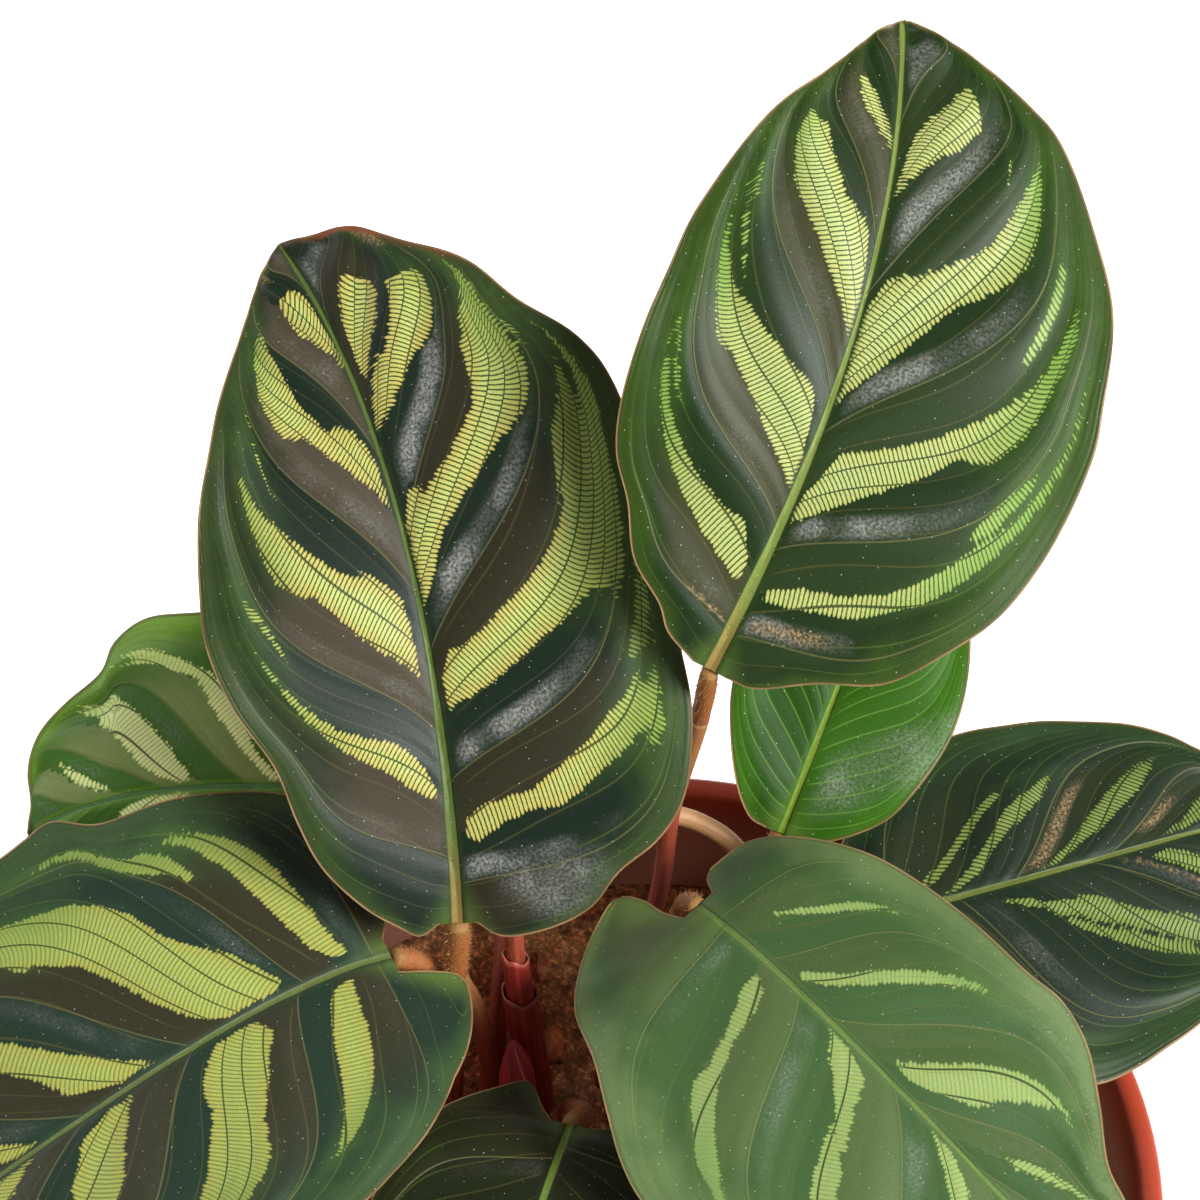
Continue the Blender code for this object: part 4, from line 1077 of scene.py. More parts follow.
def make_leaf_blade(name, look):
    leaf = LEAVES[name]
    blade = Blade(leaf)
    outline = np.vstack([blade.margin("right", 110), blade.margin("left", 110)[-2::-1]])
    cell = look.cell / MM * 1
    low, high = outline.min(axis=0), outline.max(axis=0)
    across = [x for x in np.arange(math.ceil(low[0] / cell), high[0] / cell) * cell if abs(x) > 1.1]
    across += MIDRIB_CUTS
    onward = np.arange(math.ceil(low[1] / cell), high[1] / cell) * cell
    item = sliced_sheet(outline, across, onward)
    shell = item.modifiers.new("Thickness", "SOLIDIFY")
    shell.thickness = 0.2 * MM
    shell.offset = 0
    apply_modifiers(item)
    flat = positions(item)
    out, along = flat[:, 0], flat[:, 1]
    upper = flat[:, 2] > 0
    fields = leaf_fields(name, blade, out, along, look)
    inside = soft_step(fields["rim"], 0, 3)
    half = (look.edge + (look.middle - look.edge) * inside) / MM / 2
    tapering = 1 - 0.6 * np.clip(along / blade.length, 0, 1)
    groove = -MIDRIB_GROOVE * np.exp(-(out / 0.9) ** 2) * inside
    creases = -VEIN_CREASE * np.exp(-(fields["crease"] / 0.8) ** 2) * inside
    ridge = UNDER_RIDGE * tapering * np.exp(-(out / (0.9 * tapering + 0.25)) ** 2)
    ridge *= soft_step(fields["rim"], -0.6, 1.2)
    height = np.where(upper, half + groove + creases, -half - ridge + creases)
    move_to(item, blade.surface(out, along) + blade.normal(out, along) * height[:, None])
    for key, values in fields.items():
        put_field(item, key, values)
    lower = ~upper
    piece = named(item, f"{name}_leaf", leaf_finish(name, look), underside_finish(name, look))
    for face in piece.data.polygons:
        face.material_index = 1 if all(lower[index] for index in face.vertices) else 0
    deselect()
    bpy.context.view_layer.objects.active = piece
    piece.select_set(True)
    bpy.ops.object.shade_smooth_by_angle(angle=math.radians(50))
    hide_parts(f"{name}_blade")


def frames_along(course):
    """Two directions across a course at each of its points, that don't twist."""
    onward = np.gradient(course, axis=0)
    onward /= np.linalg.norm(onward, axis=1)[:, None]
    first = np.cross(onward[0], (0.0, 1.0, 0.0))
    first /= np.linalg.norm(first)
    rows = [first]
    for direction in onward[1:]:
        turned = rows[-1] - direction * (rows[-1] @ direction)
        rows.append(turned / np.linalg.norm(turned))
    first = np.array(rows)
    return onward, first, np.cross(onward, first)


def make_tube(course, radii, sides, rings):
    """A round bar, cut into rings and bent along a course. Radii are read at even shares of its length."""
    deselect()
    bpy.ops.mesh.primitive_cylinder_add(vertices=sides, radius=MM, depth=2 * MM, end_fill_type="TRIFAN")
    item = bpy.context.object
    bpy.ops.object.mode_set(mode="EDIT")
    for height in np.linspace(-1, 1, rings + 1)[1:-1]:
        bpy.ops.mesh.select_all(action="SELECT")
        bpy.ops.mesh.bisect(plane_co=(0, 0, height * MM), plane_no=(0, 0, 1), threshold=0.0000001)
    bpy.ops.object.mode_set(mode="OBJECT")
    points = positions(item)
    share = np.clip((points[:, 2] + 1) / 2, 0, 1)
    steps = np.linalg.norm(np.diff(course, axis=0), axis=1)
    run = np.concatenate([[0], np.cumsum(steps)]) / steps.sum()
    onward, first, second = frames_along(course)

    def read(rows):
        return np.stack([np.interp(share, run, column) for column in rows.T], axis=-1)

    radius = np.interp(share, np.linspace(0, 1, len(radii)), radii)
    offset = read(first) * points[:, :1] + read(second) * points[:, 1:2]
    move_to(item, read(course) + offset * radius[:, None])
    put_field(item, "share", share)
    put_field(item, "turn", np.arctan2(points[:, 1], points[:, 0]))
    item.data.shade_smooth()
    return item


def put_field(item, name, values):
    item.data.attributes.new(name, "FLOAT", "POINT").data.foreach_set("value", np.asarray(values, np.float32))


def read_field(item, name):
    values = np.empty(len(item.data.vertices), np.float32)
    item.data.attributes[name].data.foreach_get("value", values)
    return values


def scattered(model, matrices):
    """Copies of a small model, one at each matrix, joined into it."""
    copies = []
    for matrix in matrices:
        copy = bpy.data.objects.new(model.name, model.data.copy())
        copy.data.transform(matrix)
        bpy.context.collection.objects.link(copy)
        copies.append(copy)
    bpy.data.objects.remove(model, do_unlink=True)
    deselect()
    for copy in copies:
        copy.select_set(True)
    bpy.context.view_layer.objects.active = copies[0]
    bpy.ops.object.join()
    return bpy.context.object


def pointing(direction):
    return Vector(direction).to_track_quat("Z", "Y").to_matrix().to_4x4()


def hairs_on(item, count, size, seed, low=0.0, high=1.0):
    """Fine hairs standing out of a tube, between two shares of its length."""
    chance = np.random.default_rng(seed)
    points = positions(item)
    share = read_field(item, "share")
    normals = np.array([vertex.normal for vertex in item.data.vertices])
    usable = np.flatnonzero((share > low) & (share < high))
    deselect()
    bpy.ops.mesh.primitive_cone_add(
        vertices=3, radius1=0.03 * MM, radius2=0, depth=MM, location=(0, 0, 0.45 * MM),
        end_fill_type="NOTHING")
    model = bpy.context.object
    bpy.ops.object.transform_apply(location=True, rotation=False, scale=False)
    matrices = []
    for index in chance.choice(usable, count):
        direction = normals[index] + chance.normal(0, 0.35, 3) + (0, 0, 0.25)
        place = points[index] + chance.normal(0, 0.08, 3)
        place -= normals[index] * 0.05
        stretch = Matrix.Diagonal((1, 1, size * chance.uniform(0.5, 1.2), 1))
        matrices.append(Matrix.Translation(Vector(place * MM)) @ pointing(direction) @ stretch)
    made = scattered(model, matrices)
    for name in ("share", "turn"):
        if name in made.data.attributes:
            made.data.attributes.remove(made.data.attributes[name])
    return made


def stalk_course(name):
    """The course of a stalk, its length, where the pulvinus starts and where it ends."""
    leaf = LEAVES[name]
    blade = Blade(leaf)
    base = blade.rib[0]
    aside, back, down = leaf["pulvinus"]
    thick = leaf["radii"][1]
    joint = base + blade.side[0] * aside - blade.forward[0] * back - blade.up[0] * down
    root = (*leaf["stalk"][0][:2], ROOT_END)
    knots = (root, *leaf["stalk"], joint, base)
    course = smooth_course(knots, np.linspace(0, 1, COURSE_POINTS))
    steps = np.linalg.norm(np.diff(course, axis=0), axis=1)
    run = np.concatenate([[0], np.cumsum(steps)])
    split = run[np.argmin(np.linalg.norm(course - joint, axis=1))]
    arrives = (course[-1] - course[-5]) / np.linalg.norm(course[-1] - course[-5])
    end = run[-1] - GAP - BLADE_THICKNESS / 2 * abs(arrives @ blade.up[0])
    end -= thick * abs(arrives @ blade.side[0])
    return course, run, split, end


def read_course(course, run, start, stop, count):
    places = np.linspace(start, stop, count)
    return np.stack([np.interp(places, run, column) for column in course.T], axis=-1)


def petiole_finish(look, young=False):
    finish = Finish("Young petiole" if young else "Petiole", 0.5)
    share = finish.field("share")
    turn = finish.field("turn")
    place = finish.place()
    streaks = finish.noise(finish.point(finish.math("SINE", turn) * 3.0, finish.math("COSINE", turn) * 3.0,
                                        share * 4.0), 1.6, 3.0)
    grain = finish.noise(place, 2.4, 3.0, 0.65)
    shade = finish.mix(tuple(look.petiole), tint(120, 44, 28), finish.smooth(streaks, 0.42, 0.62))
    tan = finish.smooth(share + streaks * 0.6, 0.95, 1.35)
    shade = finish.mix(shade, tuple(look.petiole_green), tan * 0.8)
    if young:
        shade = finish.mix(shade, tint(176, 134, 88), finish.smooth(share, 0.5, 0.62) * (0.7 + streaks * 0.4))
    shade = finish.mix(shade, tuple(look.hairs), finish.smooth(grain, 0.58, 0.72) * 0.35)
    speck = finish.smooth(finish.cells(place, 1.1, "3D"), 0.1, 0.05)
    shade = finish.mix(shade, tint(196, 168, 140), speck * 0.5)
    return finish.paint(shade, 0.42 + grain * 0.25, grain * 0.05 + streaks * 0.05)


def pulvinus_finish(look):
    finish = Finish("Pulvinus", 0.62)
    share = finish.field("share")
    place = finish.place()
    grain = finish.noise(place, 3.2, 3.0, 0.7)
    soft = finish.noise(place, 0.7, 2.0)
    shade = finish.mix(tuple(look.pulvinus), tint(120, 66, 38), finish.smooth(share + soft * 0.3, 0.42, 0.1))
    shade = finish.mix(shade, tint(128, 120, 56), finish.smooth(share, 0.75, 1.0) * 0.35)
    shade = finish.mix(shade, tuple(look.hairs), finish.smooth(grain, 0.5, 0.7) * 0.3)
    return finish.paint(shade, 0.55 + grain * 0.2, grain * 0.1)


def hair_finish(look):
    finish = Finish("Hairs", 0.6)
    soft = finish.noise(finish.place(), 0.6)
    shade = finish.mix(tuple(look.hairs), tint(158, 112, 66), finish.smooth(soft, 0.4, 0.6))
    return finish.paint(shade)


def make_stalks(look):
    petiole = petiole_finish(look)
    pale_petiole = petiole_finish(look, young=True)
    swelling = pulvinus_finish(look)
    hairs = hair_finish(look)
    for number, (name, leaf) in enumerate(LEAVES.items()):
        thin, thick = leaf["radii"]
        course, run, split, end = stalk_course(name)
        rings = max(12, round(split / 0.8))
        path = read_course(course, run, 0, split + GAP, rings + 1)
        tube = make_tube(path, (thin, thin * 0.98, thin * 0.95, thin * 0.95, thin * 0.97, thin), 20, rings)
        piece = named(tube, f"{name}_stem", pale_petiole if name == "young" else petiole)
        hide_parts(f"{name}_petiole")
        path = read_course(course, run, split - 0.4, end + GAP, 19)
        bulge = (thin * 0.98, thick * 0.97, thick, thick * 1.02, thick, thick * 0.94, thick * 0.84)
        joint = make_tube(path, bulge, 24, 18)
        piece_joint = named(joint, f"{name}_joint", swelling)
        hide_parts(f"{name}_pulvinus")
        count = TALL_JOINT_HAIRS if name == "tall_left" else JOINT_HAIRS
        size = look.hair / MM
        fuzz = hairs_on(joint, count, size, number + 20, 0.02, 0.98)
        fuzz = named(fuzz, f"{name}_joint_hairs", hairs)
        fuzz = hairs_on(tube, STEM_HAIRS, size * 0.6, number + 40, 0.4)
        fuzz = named(fuzz, f"{name}_stem_hairs", hairs)


def sheath_finish(look):
    finish = Finish("Sheath", 0.4)
    share = finish.field("share")
    turn = finish.field("turn")
    place = finish.place()
    ribs = finish.noise(finish.point(finish.math("SINE", turn) * 6.0, finish.math("COSINE", turn) * 6.0,
                                     share * 1.5), 1.2, 2.0)
    grain = finish.noise(place, 2.2, 3.0, 0.6)
    shade = finish.mix(tuple(look.sheath), tint(120, 34, 28), finish.smooth(ribs, 0.4, 0.62))
    shade = finish.mix(shade, tint(126, 70, 44), finish.smooth(share + ribs * 0.2, 0.35, 0.1) * 0.6)
    shade = finish.mix(shade, tuple(look.sheath_lip), finish.smooth(share, 0.98, 1.0) * 0.8)
    speck = finish.smooth(finish.cells(place, 1.0, "3D"), 0.12, 0.06)
    shade = finish.mix(shade, tint(206, 160, 140), speck * 0.55)
    return finish.paint(shade, 0.36 + grain * 0.2, ribs * 0.1)


def make_sheaths(look):
    leaf = LEAVES["young"]
    root = (*leaf["stalk"][0][:2], ROOT_END)
    course = smooth_course((root, *leaf["stalk"]), np.linspace(0, 1, 200))
    finish = sheath_finish(look)
    for number, (name, sheath) in enumerate(SHEATHS.items()):
        path = course[:np.argmax(course[:, 2] > sheath["mouth"])]
        path = smooth_course(path, np.linspace(0, 1, 40))
        middle = (sheath["inside"] + sheath["radius"]) / 2
        tube = make_tube(path, (middle, middle * 1.02, middle, middle * 0.98, middle * 1.02), 36, 39)
        points = positions(tube)
        share = read_field(tube, "share")
        turn = read_field(tube, "turn")
        scallop = 0.75 * np.sin(turn + 1.1 + number) + 0.2 * np.sin(turn * 5 + 2 * number)
        points[:, 2] += soft_step(share, 0.85, 1) * (scallop - 0.6)
        move_to(tube, points)
        bpy.ops.object.mode_set(mode="EDIT")
        bpy.ops.mesh.select_all(action="DESELECT")
        bpy.ops.object.mode_set(mode="OBJECT")
        for face in tube.data.polygons:
            face.select = all(share[index] > 0.999 for index in face.vertices) or all(
                share[index] < 0.001 for index in face.vertices)
        bpy.ops.object.mode_set(mode="EDIT")
        bpy.ops.mesh.select_mode(type="FACE")
        bpy.ops.mesh.delete(type="FACE")
        bpy.ops.mesh.select_mode(type="VERT")
        bpy.ops.object.mode_set(mode="OBJECT")
        shell = tube.modifiers.new("Thickness", "SOLIDIFY")
        shell.thickness = (sheath["radius"] - sheath["inside"]) * MM * 0.8
        shell.offset = 0
        apply_modifiers(tube)
        piece = named(tube, f"{name}_leaf", finish)
        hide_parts(name)


def make_shoot(look):
    """A rolled leaf: its outer edge laps over it along a slanting seam."""
    path = smooth_course(SHOOT_COURSE, np.linspace(0, 1, 60))
    radii = np.interp(np.linspace(0, 1, 25), np.linspace(0, 1, len(SHOOT_RADII)), SHOOT_RADII)
    radii[-5:] = SHOOT_TIP
    tube = make_tube(path, radii, 64, 60)
    points = positions(tube)
    share = read_field(tube, "share")
    turn = read_field(tube, "turn")
    centre = np.stack([np.interp(share, np.linspace(0, 1, 60), column) for column in path.T], axis=-1)
    lap = ((turn + 2.2 + 2.6 * share) % (2 * math.pi)) / (2 * math.pi)
    tight = 1 - 0.16 * soft_step(lap, 0, 0.06) * (1 - soft_step(lap, 0.06, 1.0) * 0.9)
    move_to(tube, centre + (points - centre) * tight[:, None])
    put_field(tube, "lap", lap)
    finish = Finish("New shoot", 0.38)
    along = finish.field("share")
    wrap = finish.field("lap")
    place = finish.place()
    grain = finish.noise(place, 1.8, 3.0, 0.6)
    ribs = finish.noise(finish.point(wrap * 26.0, along * 1.5), 1.0, 2.0)
    shade = finish.mix(tuple(look.shoot), tuple(look.shoot_dark), finish.smooth(ribs, 0.42, 0.62) * 0.7)
    shade = finish.mix(shade, tuple(look.shoot_dark), finish.smooth(along, 0.72, 0.5) * 0.6)
    shade = finish.mix(shade, tint(214, 150, 120), finish.band(wrap, 0.02, 0.03) * 0.6)
    shade = finish.mix(shade, tint(196, 120, 110), finish.smooth(grain, 0.6, 0.75) * 0.3)
    piece = named(tube, "new_shoot_leaf", finish.paint(shade, 0.34 + grain * 0.2, ribs * 0.06))
    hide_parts("new_shoot")


def lumps(points, seed, pitch, waves):
    """The height of lumps: a seeded sum of waves that run in all directions."""
    chance = np.random.default_rng(seed)
    angles = chance.uniform(0, 2 * math.pi, waves)
    pitches = chance.uniform(*pitch, waves)
    phases = chance.uniform(0, 2 * math.pi, waves)
    along = points[:, :1] * np.cos(angles) + points[:, 1:2] * np.sin(angles)
    return np.sin(2 * math.pi * along / pitches + phases).sum(axis=1) / math.sqrt(waves)


def crumbs(points, seed, pitch):
    """Finer lumps, in the same way."""
    return lumps(points, seed, (pitch * 0.6, pitch * 1.6), CRUMB_WAVES)


def inner_wall(height):
    """The pot's inner radius at a height."""
    below_band = POT_HEIGHT - BAND_HEIGHT
    top = RIM_RADIUS - BAND_STEP - WALL
    return BASE_RADIUS - WALL + (top - BASE_RADIUS + WALL) * min(height / below_band, 1)


def soil_height(points):
    """The soil's surface, as in its solid, with finer crumbs on it."""
    edge = inner_wall(SOIL_EDGE) - GAP
    radius = np.hypot(points[:, 0], points[:, 1])
    inside = np.clip((edge - radius) / 4, 0, 1)
    crown = SOIL_CROWN + (SOIL_EDGE - SOIL_CROWN) * (radius / edge) ** 2
    fine = 0.55 * crumbs(points, 5, 4.2) + 0.36 * crumbs(points, 6, 2.1)
    lump = LUMP_HEIGHT * lumps(points, LUMP_SEED, LUMP_PITCH, LUMP_WAVES)
    return crown + (lump + fine) * inside


def soil_finish(look):
    finish = Finish("Potting mix", 0.95)
    place = finish.place()
    grain = finish.noise(place, 1.4, 4.0, 0.7)
    soft = finish.noise(place, 0.22, 2.0)
    shade = finish.mix(tuple(look.peat), tuple(look.peat_light), finish.smooth(grain, 0.46, 0.72))
    crumb = finish.smooth(finish.cells(place, 0.55, "3D"), 0.2, 0.08)
    shade = finish.mix(shade, tuple(look.coir), crumb * 0.5)
    # Painted shade: noise patches darken the peat as shade in hollows would, though they don't follow the
    # soil's lumps
    painted_hollows = finish.smooth(finish.noise(place, 0.5, 3.0, 0.6), 0.36, 0.58)
    shade = finish.scaled(shade, (0.8 + soft * 0.6) * (0.85 + painted_hollows * 1.1))
    return finish.paint(shade, 0.88 + grain * 0.1, grain * 0.7)


def chip_finish(look):
    finish = Finish("Coir", 0.85)
    place = finish.place()
    grain = finish.noise(place, 1.6, 3.0, 0.65)
    soft = finish.noise(place, 0.3, 1.0)
    shade = finish.mix(tuple(look.coir_dark), tuple(look.coir), finish.smooth(soft + grain * 0.4, 0.52, 0.86))
    fibres = finish.noise(finish.place((6, 1, 1)), 0.8, 2.0)
    shade = finish.scaled(shade, 0.75 + fibres * 0.8)
    return finish.paint(shade, 0.8 + grain * 0.15, grain * 0.25)


def make_soil(look):
    edge = inner_wall(SOIL_EDGE) - 0.05
    angles = np.linspace(0, 2 * math.pi, 180, endpoint=False)
    outline = np.stack([edge * np.cos(angles), edge * np.sin(angles)], axis=1)
    cell = look.cell / MM * 1
    cuts = np.arange(-round(edge / cell) + 1, round(edge / cell)) * cell
    item = sliced_sheet(outline, cuts, cuts)
    points = positions(item)
    points[:, 2] = soil_height(points)
    move_to(item, points)
    bpy.ops.object.mode_set(mode="EDIT")
    bpy.ops.mesh.select_all(action="SELECT")
    bpy.ops.mesh.region_to_loop()
    bpy.ops.mesh.extrude_edges_move()
    bpy.ops.object.mode_set(mode="OBJECT")
    bottom = FLOOR + GAP
    points = positions(item)
    chosen = np.array([vertex.select for vertex in item.data.vertices])
    points[chosen, :2] *= (inner_wall(bottom) - GAP) / edge
    points[chosen, 2] = bottom
    move_to(item, points)
    bpy.ops.object.mode_set(mode="EDIT")
    bpy.ops.mesh.edge_face_add()
    bpy.ops.mesh.select_all(action="SELECT")
    bpy.ops.mesh.normals_make_consistent(inside=False)
    bpy.ops.object.mode_set(mode="OBJECT")
    item.data.shade_smooth()
    piece = named(item, "soil_bed", soil_finish(look))
    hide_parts("soil")
    make_chips(look)


def clear_of_stems(x, y, margin):
    stems = [leaf["stalk"][0][:2] for leaf in LEAVES.values()] + [SHOOT_COURSE[0][:2]]
    return all(math.hypot(x - a, y - b) > margin for a, b in stems)


def make_chips(look):
    """Chips and strands of coir, modelled once and scattered over the soil."""
    chance = np.random.default_rng(CHIP_SEED)
    finish = chip_finish(look)
    edge = inner_wall(SOIL_EDGE) - 3
    for kind, (low, high, share) in enumerate(CHIP_SIZES):
        deselect()
        bpy.ops.mesh.primitive_ico_sphere_add(subdivisions=2 if kind == 0 else 1, radius=MM / 2)
        model = bpy.context.object
        points = positions(model)
        dents = [crumbs(points * 3 + 7 * axis, 50 + kind + axis, 1.8) for axis in range(3)]
        points += 0.16 * np.stack(dents, axis=1)
        move_to(model, points * (1, 0.62, 0.4))
        matrices = []
        while len(matrices) < look.chips * share:
            radius = edge * math.sqrt(chance.uniform())
            angle = chance.uniform(0, 2 * math.pi)
            x, y = radius * math.cos(angle), radius * math.sin(angle)
            if not clear_of_stems(x, y, CHIP_CLEARANCE):
                continue
            size = chance.uniform(low, high)
            z = soil_height(np.array([[x, y]]))[0] + 0.1 * size
            turn = Matrix.Rotation(chance.uniform(0, 2 * math.pi), 4, "Z")
            tip = Matrix.Rotation(chance.normal(0, 0.35), 4, "X")
            tip = tip @ Matrix.Rotation(chance.normal(0, 0.35), 4, "Y")
            longer = size * chance.uniform(0.9, 1.4)
            stretch = Matrix.Diagonal((longer, size, size * chance.uniform(0.7, 1.2), 1))
            matrices.append(Matrix.Translation((x * MM, y * MM, z * MM)) @ turn @ tip @ stretch)
        piece = named(scattered(model, matrices), f"soil_chips_{kind + 1}", finish)
    if look.strands:
        matrices = []
        model = make_tube(np.array(STRAND_COURSE, float), STRAND_RADII, 5, 8)
        while len(matrices) < look.strands:
            radius = edge * math.sqrt(chance.uniform())
            angle = chance.uniform(0, 2 * math.pi)
            x, y = radius * math.cos(angle), radius * math.sin(angle)
            if not clear_of_stems(x, y, STRAND_CLEARANCE):
                continue
            size = chance.uniform(1.2, 3.4)
            z = soil_height(np.array([[x, y]]))[0] + 0.15
            turn = Matrix.Rotation(chance.uniform(0, 2 * math.pi), 4, "Z")
            turn = turn @ Matrix.Rotation(chance.normal(0, 0.25), 4, "Y")
            width = chance.uniform(3.5, 8)
            stretch = Matrix.Diagonal((size, size * chance.uniform(0.6, 1.6), width, 1))
            matrices.append(Matrix.Translation((x * MM, y * MM, z * MM)) @ turn @ stretch)
        piece = named(scattered(model, matrices), "soil_strands", finish)


def pot_finish(look):
    finish = Finish("Terracotta plastic", 0.4, IOR=1.49)
    place = finish.place()
    lines = finish.noise(finish.place((0.12, 0.12, 3)), 1.0, 2.0)
    soft = finish.noise(place, 0.05, 3.0)
    grain = finish.noise(place, 2.0, 3.0, 0.7)
    # The inner wall takes the paler inside colour, painted light against the shade in the pot
    within = finish.field("inside")
    shade = finish.mix(tuple(look.plastic), tuple(look.inside), within)
    shade = finish.scaled(shade, 0.88 + lines * 0.14 + soft * 0.1)
    marks = finish.smooth(finish.noise(finish.place((1, 1, 0.35)), 0.12, 4.0, 0.6), 0.56, 0.72)
    shade = finish.mix(shade, tuple(look.dust), marks * 0.12)
    roughness = 0.34 + grain * 0.14 + marks * 0.2
    return finish.paint(shade, roughness, lines * 0.03 + grain * 0.02)


def make_pot(look):
    """A ring that is drawn out, scaled and raised, as the pot's wall goes."""
    band = POT_HEIGHT - BAND_HEIGHT
    lip = RIM_RADIUS - LIP_WIDTH
    profile = [(0.6, FLOOR), (8, FLOOR), (20, FLOOR), (inner_wall(FLOOR) - 1.5, FLOOR)]
    profile += [(inner_wall(h) - 0.35 * (h < 3), h) for h in (2.2, 3.4, 20, 40, 60, 76, 84, 88)]
    profile += [(inner_wall(band), band), (inner_wall(band) + 0.1, band + 3), (lip - 0.05, POT_HEIGHT - 1.6)]
    for step in range(LIP_STEPS + 1):
        angle = math.pi * (1 - step / LIP_STEPS)
        profile.append((lip + LIP_WIDTH / 2 + (LIP_WIDTH / 2) * math.cos(angle),
                        POT_HEIGHT - LIP_HEIGHT + LIP_HEIGHT * math.sin(angle)))
    top = RIM_RADIUS - BAND_STEP
    profile += [
        (RIM_RADIUS, POT_HEIGHT - 4), (RIM_RADIUS - 0.1, POT_HEIGHT - 9), (RIM_RADIUS - 0.15, band + 1.2),
        (RIM_RADIUS - 0.35, band + 0.35), (RIM_RADIUS - 0.9, band), (top, band - 0.3),
        (top - 0.15, band - 1.5)]
    profile += [(BASE_RADIUS + (top - BASE_RADIUS) * h / band, h) for h in (70, 50, 30, 12, 3)]
    profile += [
        (BASE_RADIUS - 0.1, 1.0), (BASE_RADIUS - 0.5, 0.3), (BASE_RADIUS - 1.2, 0), (BASE_RADIUS - 4, 0),
        (BASE_RADIUS - 4.4, 0.25), (36, 0.25), (20, 0.25), (8, 0.25), (0.6, 0.25)]
    deselect()
    first = profile[0]
    bpy.ops.mesh.primitive_circle_add(
        vertices=look.steps, radius=first[0] * MM, fill_type="NOTHING", location=(0, 0, first[1] * MM))
    item = bpy.context.object
    bpy.ops.object.transform_apply(location=True, rotation=False, scale=False)
    bpy.ops.object.mode_set(mode="EDIT")
    bpy.ops.mesh.select_all(action="SELECT")
    bpy.ops.mesh.edge_face_add()
    bpy.ops.mesh.select_all(action="SELECT")
    for (last_radius, last_height), (radius, height) in zip(profile, profile[1:]):
        bpy.ops.mesh.extrude_region_move(
            TRANSFORM_OT_translate={"value": (0, 0, (height - last_height) * MM)})
        scale = radius / last_radius
        bpy.ops.transform.resize(value=(scale, scale, 1), center_override=(0, 0, height * MM))
    bpy.ops.mesh.select_all(action="SELECT")
    bpy.ops.mesh.normals_make_consistent(inside=False)
    bpy.ops.object.mode_set(mode="OBJECT")
    drill_drains(item)
    points = positions(item)
    radius = np.hypot(points[:, 0], points[:, 1])
    wall = np.array([inner_wall(min(z, band)) for z in points[:, 2]])
    put_field(item, "inside", (radius < wall + 0.35) & (points[:, 2] > 1) & (points[:, 2] < POT_HEIGHT - 1.7))
    bpy.context.view_layer.objects.active = item
    item.select_set(True)
    bpy.ops.object.shade_smooth_by_angle(angle=math.radians(40))
    piece = named(item, "nursery_pot", pot_finish(look))
    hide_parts("pot")


def drill_drains(item):
    deselect()
    cutters = []
    for index in range(DRAIN_HOLES):
        angle = 2 * math.pi * (index + DRAIN_TURN) / DRAIN_HOLES
        place = (DRAIN_CIRCLE * math.cos(angle) * MM, DRAIN_CIRCLE * math.sin(angle) * MM, 0)
        bpy.ops.mesh.primitive_cylinder_add(
            vertices=32, radius=DRAIN_RADIUS * MM, depth=8 * MM, location=place)
        cutters.append(bpy.context.object)
    for cutter in cutters:
        cutter.select_set(True)
    bpy.context.view_layer.objects.active = cutters[0]
    bpy.ops.object.join()
    cutter = bpy.context.object
    drain = item.modifiers.new("Drains", "BOOLEAN")
    drain.operation = "DIFFERENCE"
    drain.object = cutter
    apply_modifiers(item)
    bpy.data.objects.remove(cutter, do_unlink=True)


def make_stage(look):
    deselect()
    bpy.ops.mesh.primitive_plane_add(size=6)
    floor = bpy.context.object
    bpy.ops.object.mode_set(mode="EDIT")
    bpy.ops.mesh.select_all(action="SELECT")
    bpy.ops.mesh.subdivide(number_cuts=3)
    bpy.ops.object.mode_set(mode="OBJECT")
    floor.name = "studio_floor"
    finish = Finish("Studio floor", 0.9, Emission_Strength=0.6, Emission_Color=(1, 1, 1, 1))
    shade = finish.mix(tuple(look.floor), tint(238, 238, 236), finish.noise(finish.place(), 0.01))
    floor.data.materials.append(finish.paint(shade))
    world = bpy.data.worlds.new("Studio")
    world.use_nodes = True
    world.node_tree.nodes["Background"].inputs[0].default_value = (1, 1, 1, 1)
    world.node_tree.nodes["Background"].inputs[1].default_value = look.world
    bpy.context.scene.world = world
    target = Vector(LIGHT_TARGET)
    lights = (("Key light", *KEY_LIGHT, look.key), ("Fill light", *FILL_LIGHT, look.fill))
    for name, place, size, power in lights:
        bpy.ops.object.light_add(type="AREA", location=place)
        lamp = bpy.context.object
        lamp.name = name
        lamp.data.energy = power
        lamp.data.size = size
        lamp.rotation_euler = (target - Vector(place)).to_track_quat("-Z", "Y").to_euler()
    aim = Vector((*CAMERA_AIM, POT_HEIGHT)) * MM
    look_down = Vector((0, math.cos(look.elevation), -math.sin(look.elevation)))
    bpy.ops.object.camera_add(location=aim - look_down * look.distance)
    camera = bpy.context.object
    camera.rotation_euler = (math.pi / 2 - look.elevation, 0, 0)
    camera.data.lens = look.lens
    camera.data.sensor_width = 36
    camera.data.clip_end = 20
    bpy.context.scene.camera = camera
    bpy.context.scene.view_settings.view_transform = "Standard"
    deselect()


class PLANT_OT_leaves(Operator):
    """Adds the patterned leaf blades"""

    bl_idname = "plant.leaves"
    bl_label = "Leaves"

    def execute(self, context):
        for name in LEAVES:
            make_leaf_blade(name, context.scene.leaf_look)
        return {"FINISHED"}


class PLANT_OT_stalks(Operator):
    """Adds the petioles and the pulvini, with their hairs"""

    bl_idname = "plant.stalks"
    bl_label = "Stalks"

    def execute(self, context):
        make_stalks(context.scene.stalk_look)
        return {"FINISHED"}


class PLANT_OT_sheaths(Operator):
    """Adds the two sheaths round the young leaf's stalk"""

    bl_idname = "plant.sheaths"
    bl_label = "Sheaths"

    def execute(self, context):
        make_sheaths(context.scene.stalk_look)
        return {"FINISHED"}


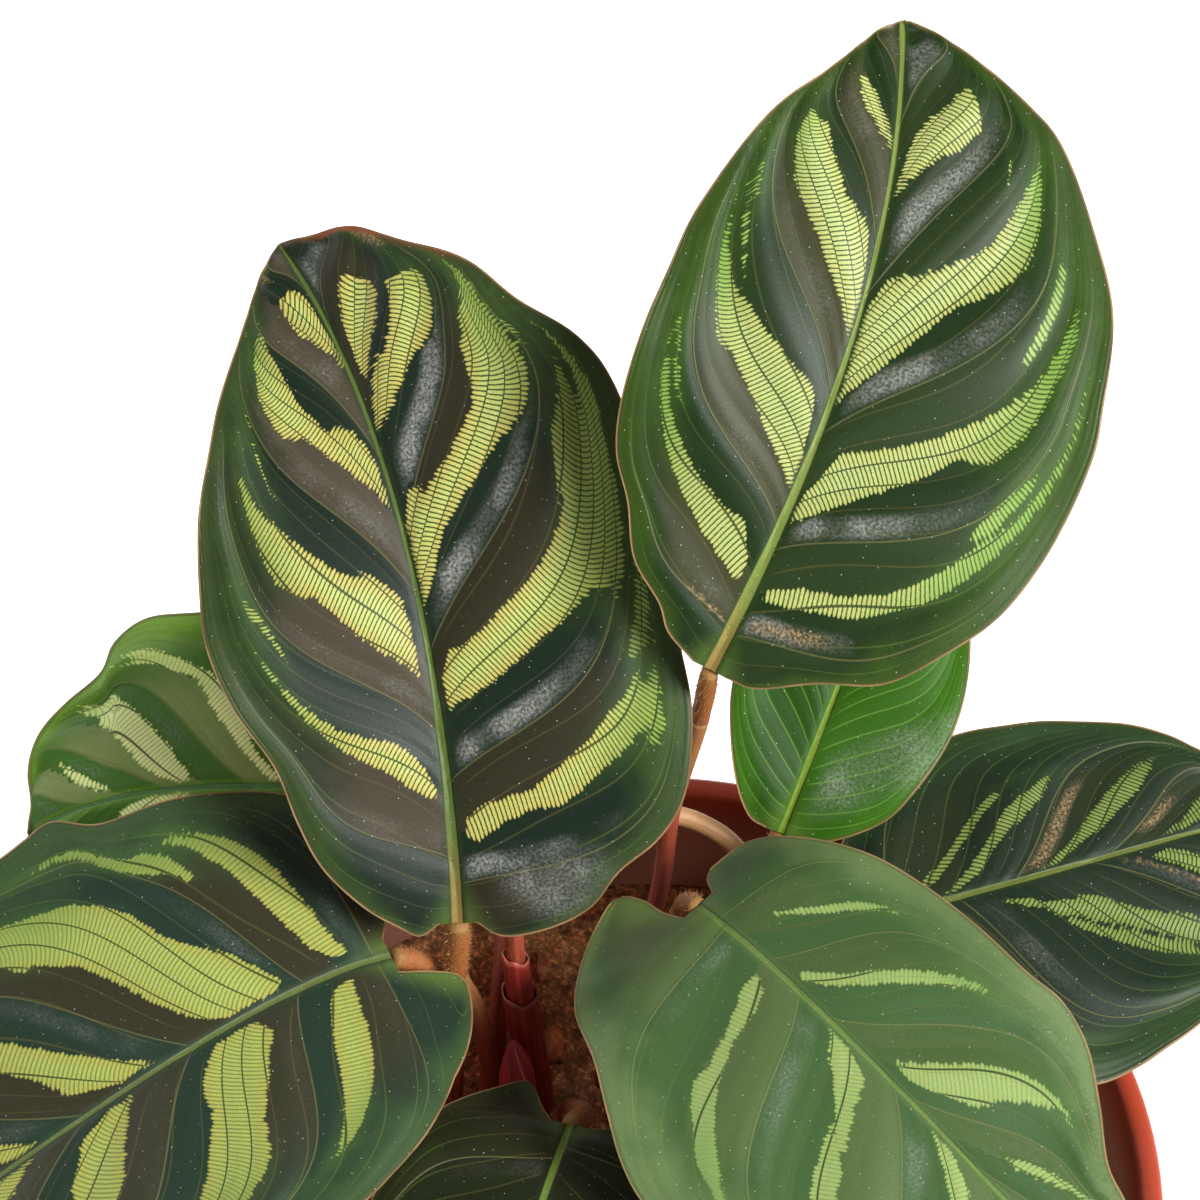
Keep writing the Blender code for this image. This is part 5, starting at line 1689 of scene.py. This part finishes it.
class PLANT_OT_shoot(Operator):
    """Adds the new shoot, a leaf still rolled up"""

    bl_idname = "plant.shoot"
    bl_label = "New Shoot"

    def execute(self, context):
        make_shoot(context.scene.stalk_look)
        return {"FINISHED"}


class PLANT_OT_soil(Operator):
    """Adds the potting mix, with its chips and strands of coir"""

    bl_idname = "plant.soil"
    bl_label = "Soil"

    def execute(self, context):
        make_soil(context.scene.soil_look)
        return {"FINISHED"}


class PLANT_OT_pot(Operator):
    """Adds the nursery pot"""

    bl_idname = "plant.pot"
    bl_label = "Pot"

    def execute(self, context):
        make_pot(context.scene.pot_look)
        return {"FINISHED"}


class PLANT_OT_stage(Operator):
    """Adds the floor, the lights and the camera"""

    bl_idname = "plant.stage"
    bl_label = "Stage"

    def execute(self, context):
        make_stage(context.scene.stage_look)
        return {"FINISHED"}


OPERATORS = (
    PLANT_OT_stage, PLANT_OT_pot, PLANT_OT_soil, PLANT_OT_leaves, PLANT_OT_stalks, PLANT_OT_sheaths,
    PLANT_OT_shoot)
LOOKS = {
    "leaf_look": LeafLook,
    "stalk_look": StalkLook,
    "pot_look": PotLook,
    "soil_look": SoilLook,
    "stage_look": StageLook,
}


class PLANT_PT_panel(Panel):
    """Lists the plant's pieces"""

    bl_idname = "PLANT_PT_panel"
    bl_label = "Peacock Plant"
    bl_space_type = "VIEW_3D"
    bl_region_type = "UI"
    bl_category = "Peacock Plant"

    def draw(self, context):
        for operator in OPERATORS:
            self.layout.operator(operator.bl_idname)


def register():
    for group in (*LOOKS.values(), *OPERATORS, PLANT_PT_panel):
        bpy.utils.register_class(group)
    for name, group in LOOKS.items():
        setattr(bpy.types.Scene, name, PointerProperty(type=group))


def unregister():
    for name in LOOKS:
        delattr(bpy.types.Scene, name)
    for group in reversed((*LOOKS.values(), *OPERATORS, PLANT_PT_panel)):
        bpy.utils.unregister_class(group)


def main():
    register()
    bpy.ops.plant.stage()
    bpy.ops.plant.pot()
    bpy.ops.plant.soil()
    bpy.ops.plant.leaves()
    bpy.ops.plant.stalks()
    bpy.ops.plant.sheaths()
    bpy.ops.plant.shoot()


if __name__ == "__main__":
    main()
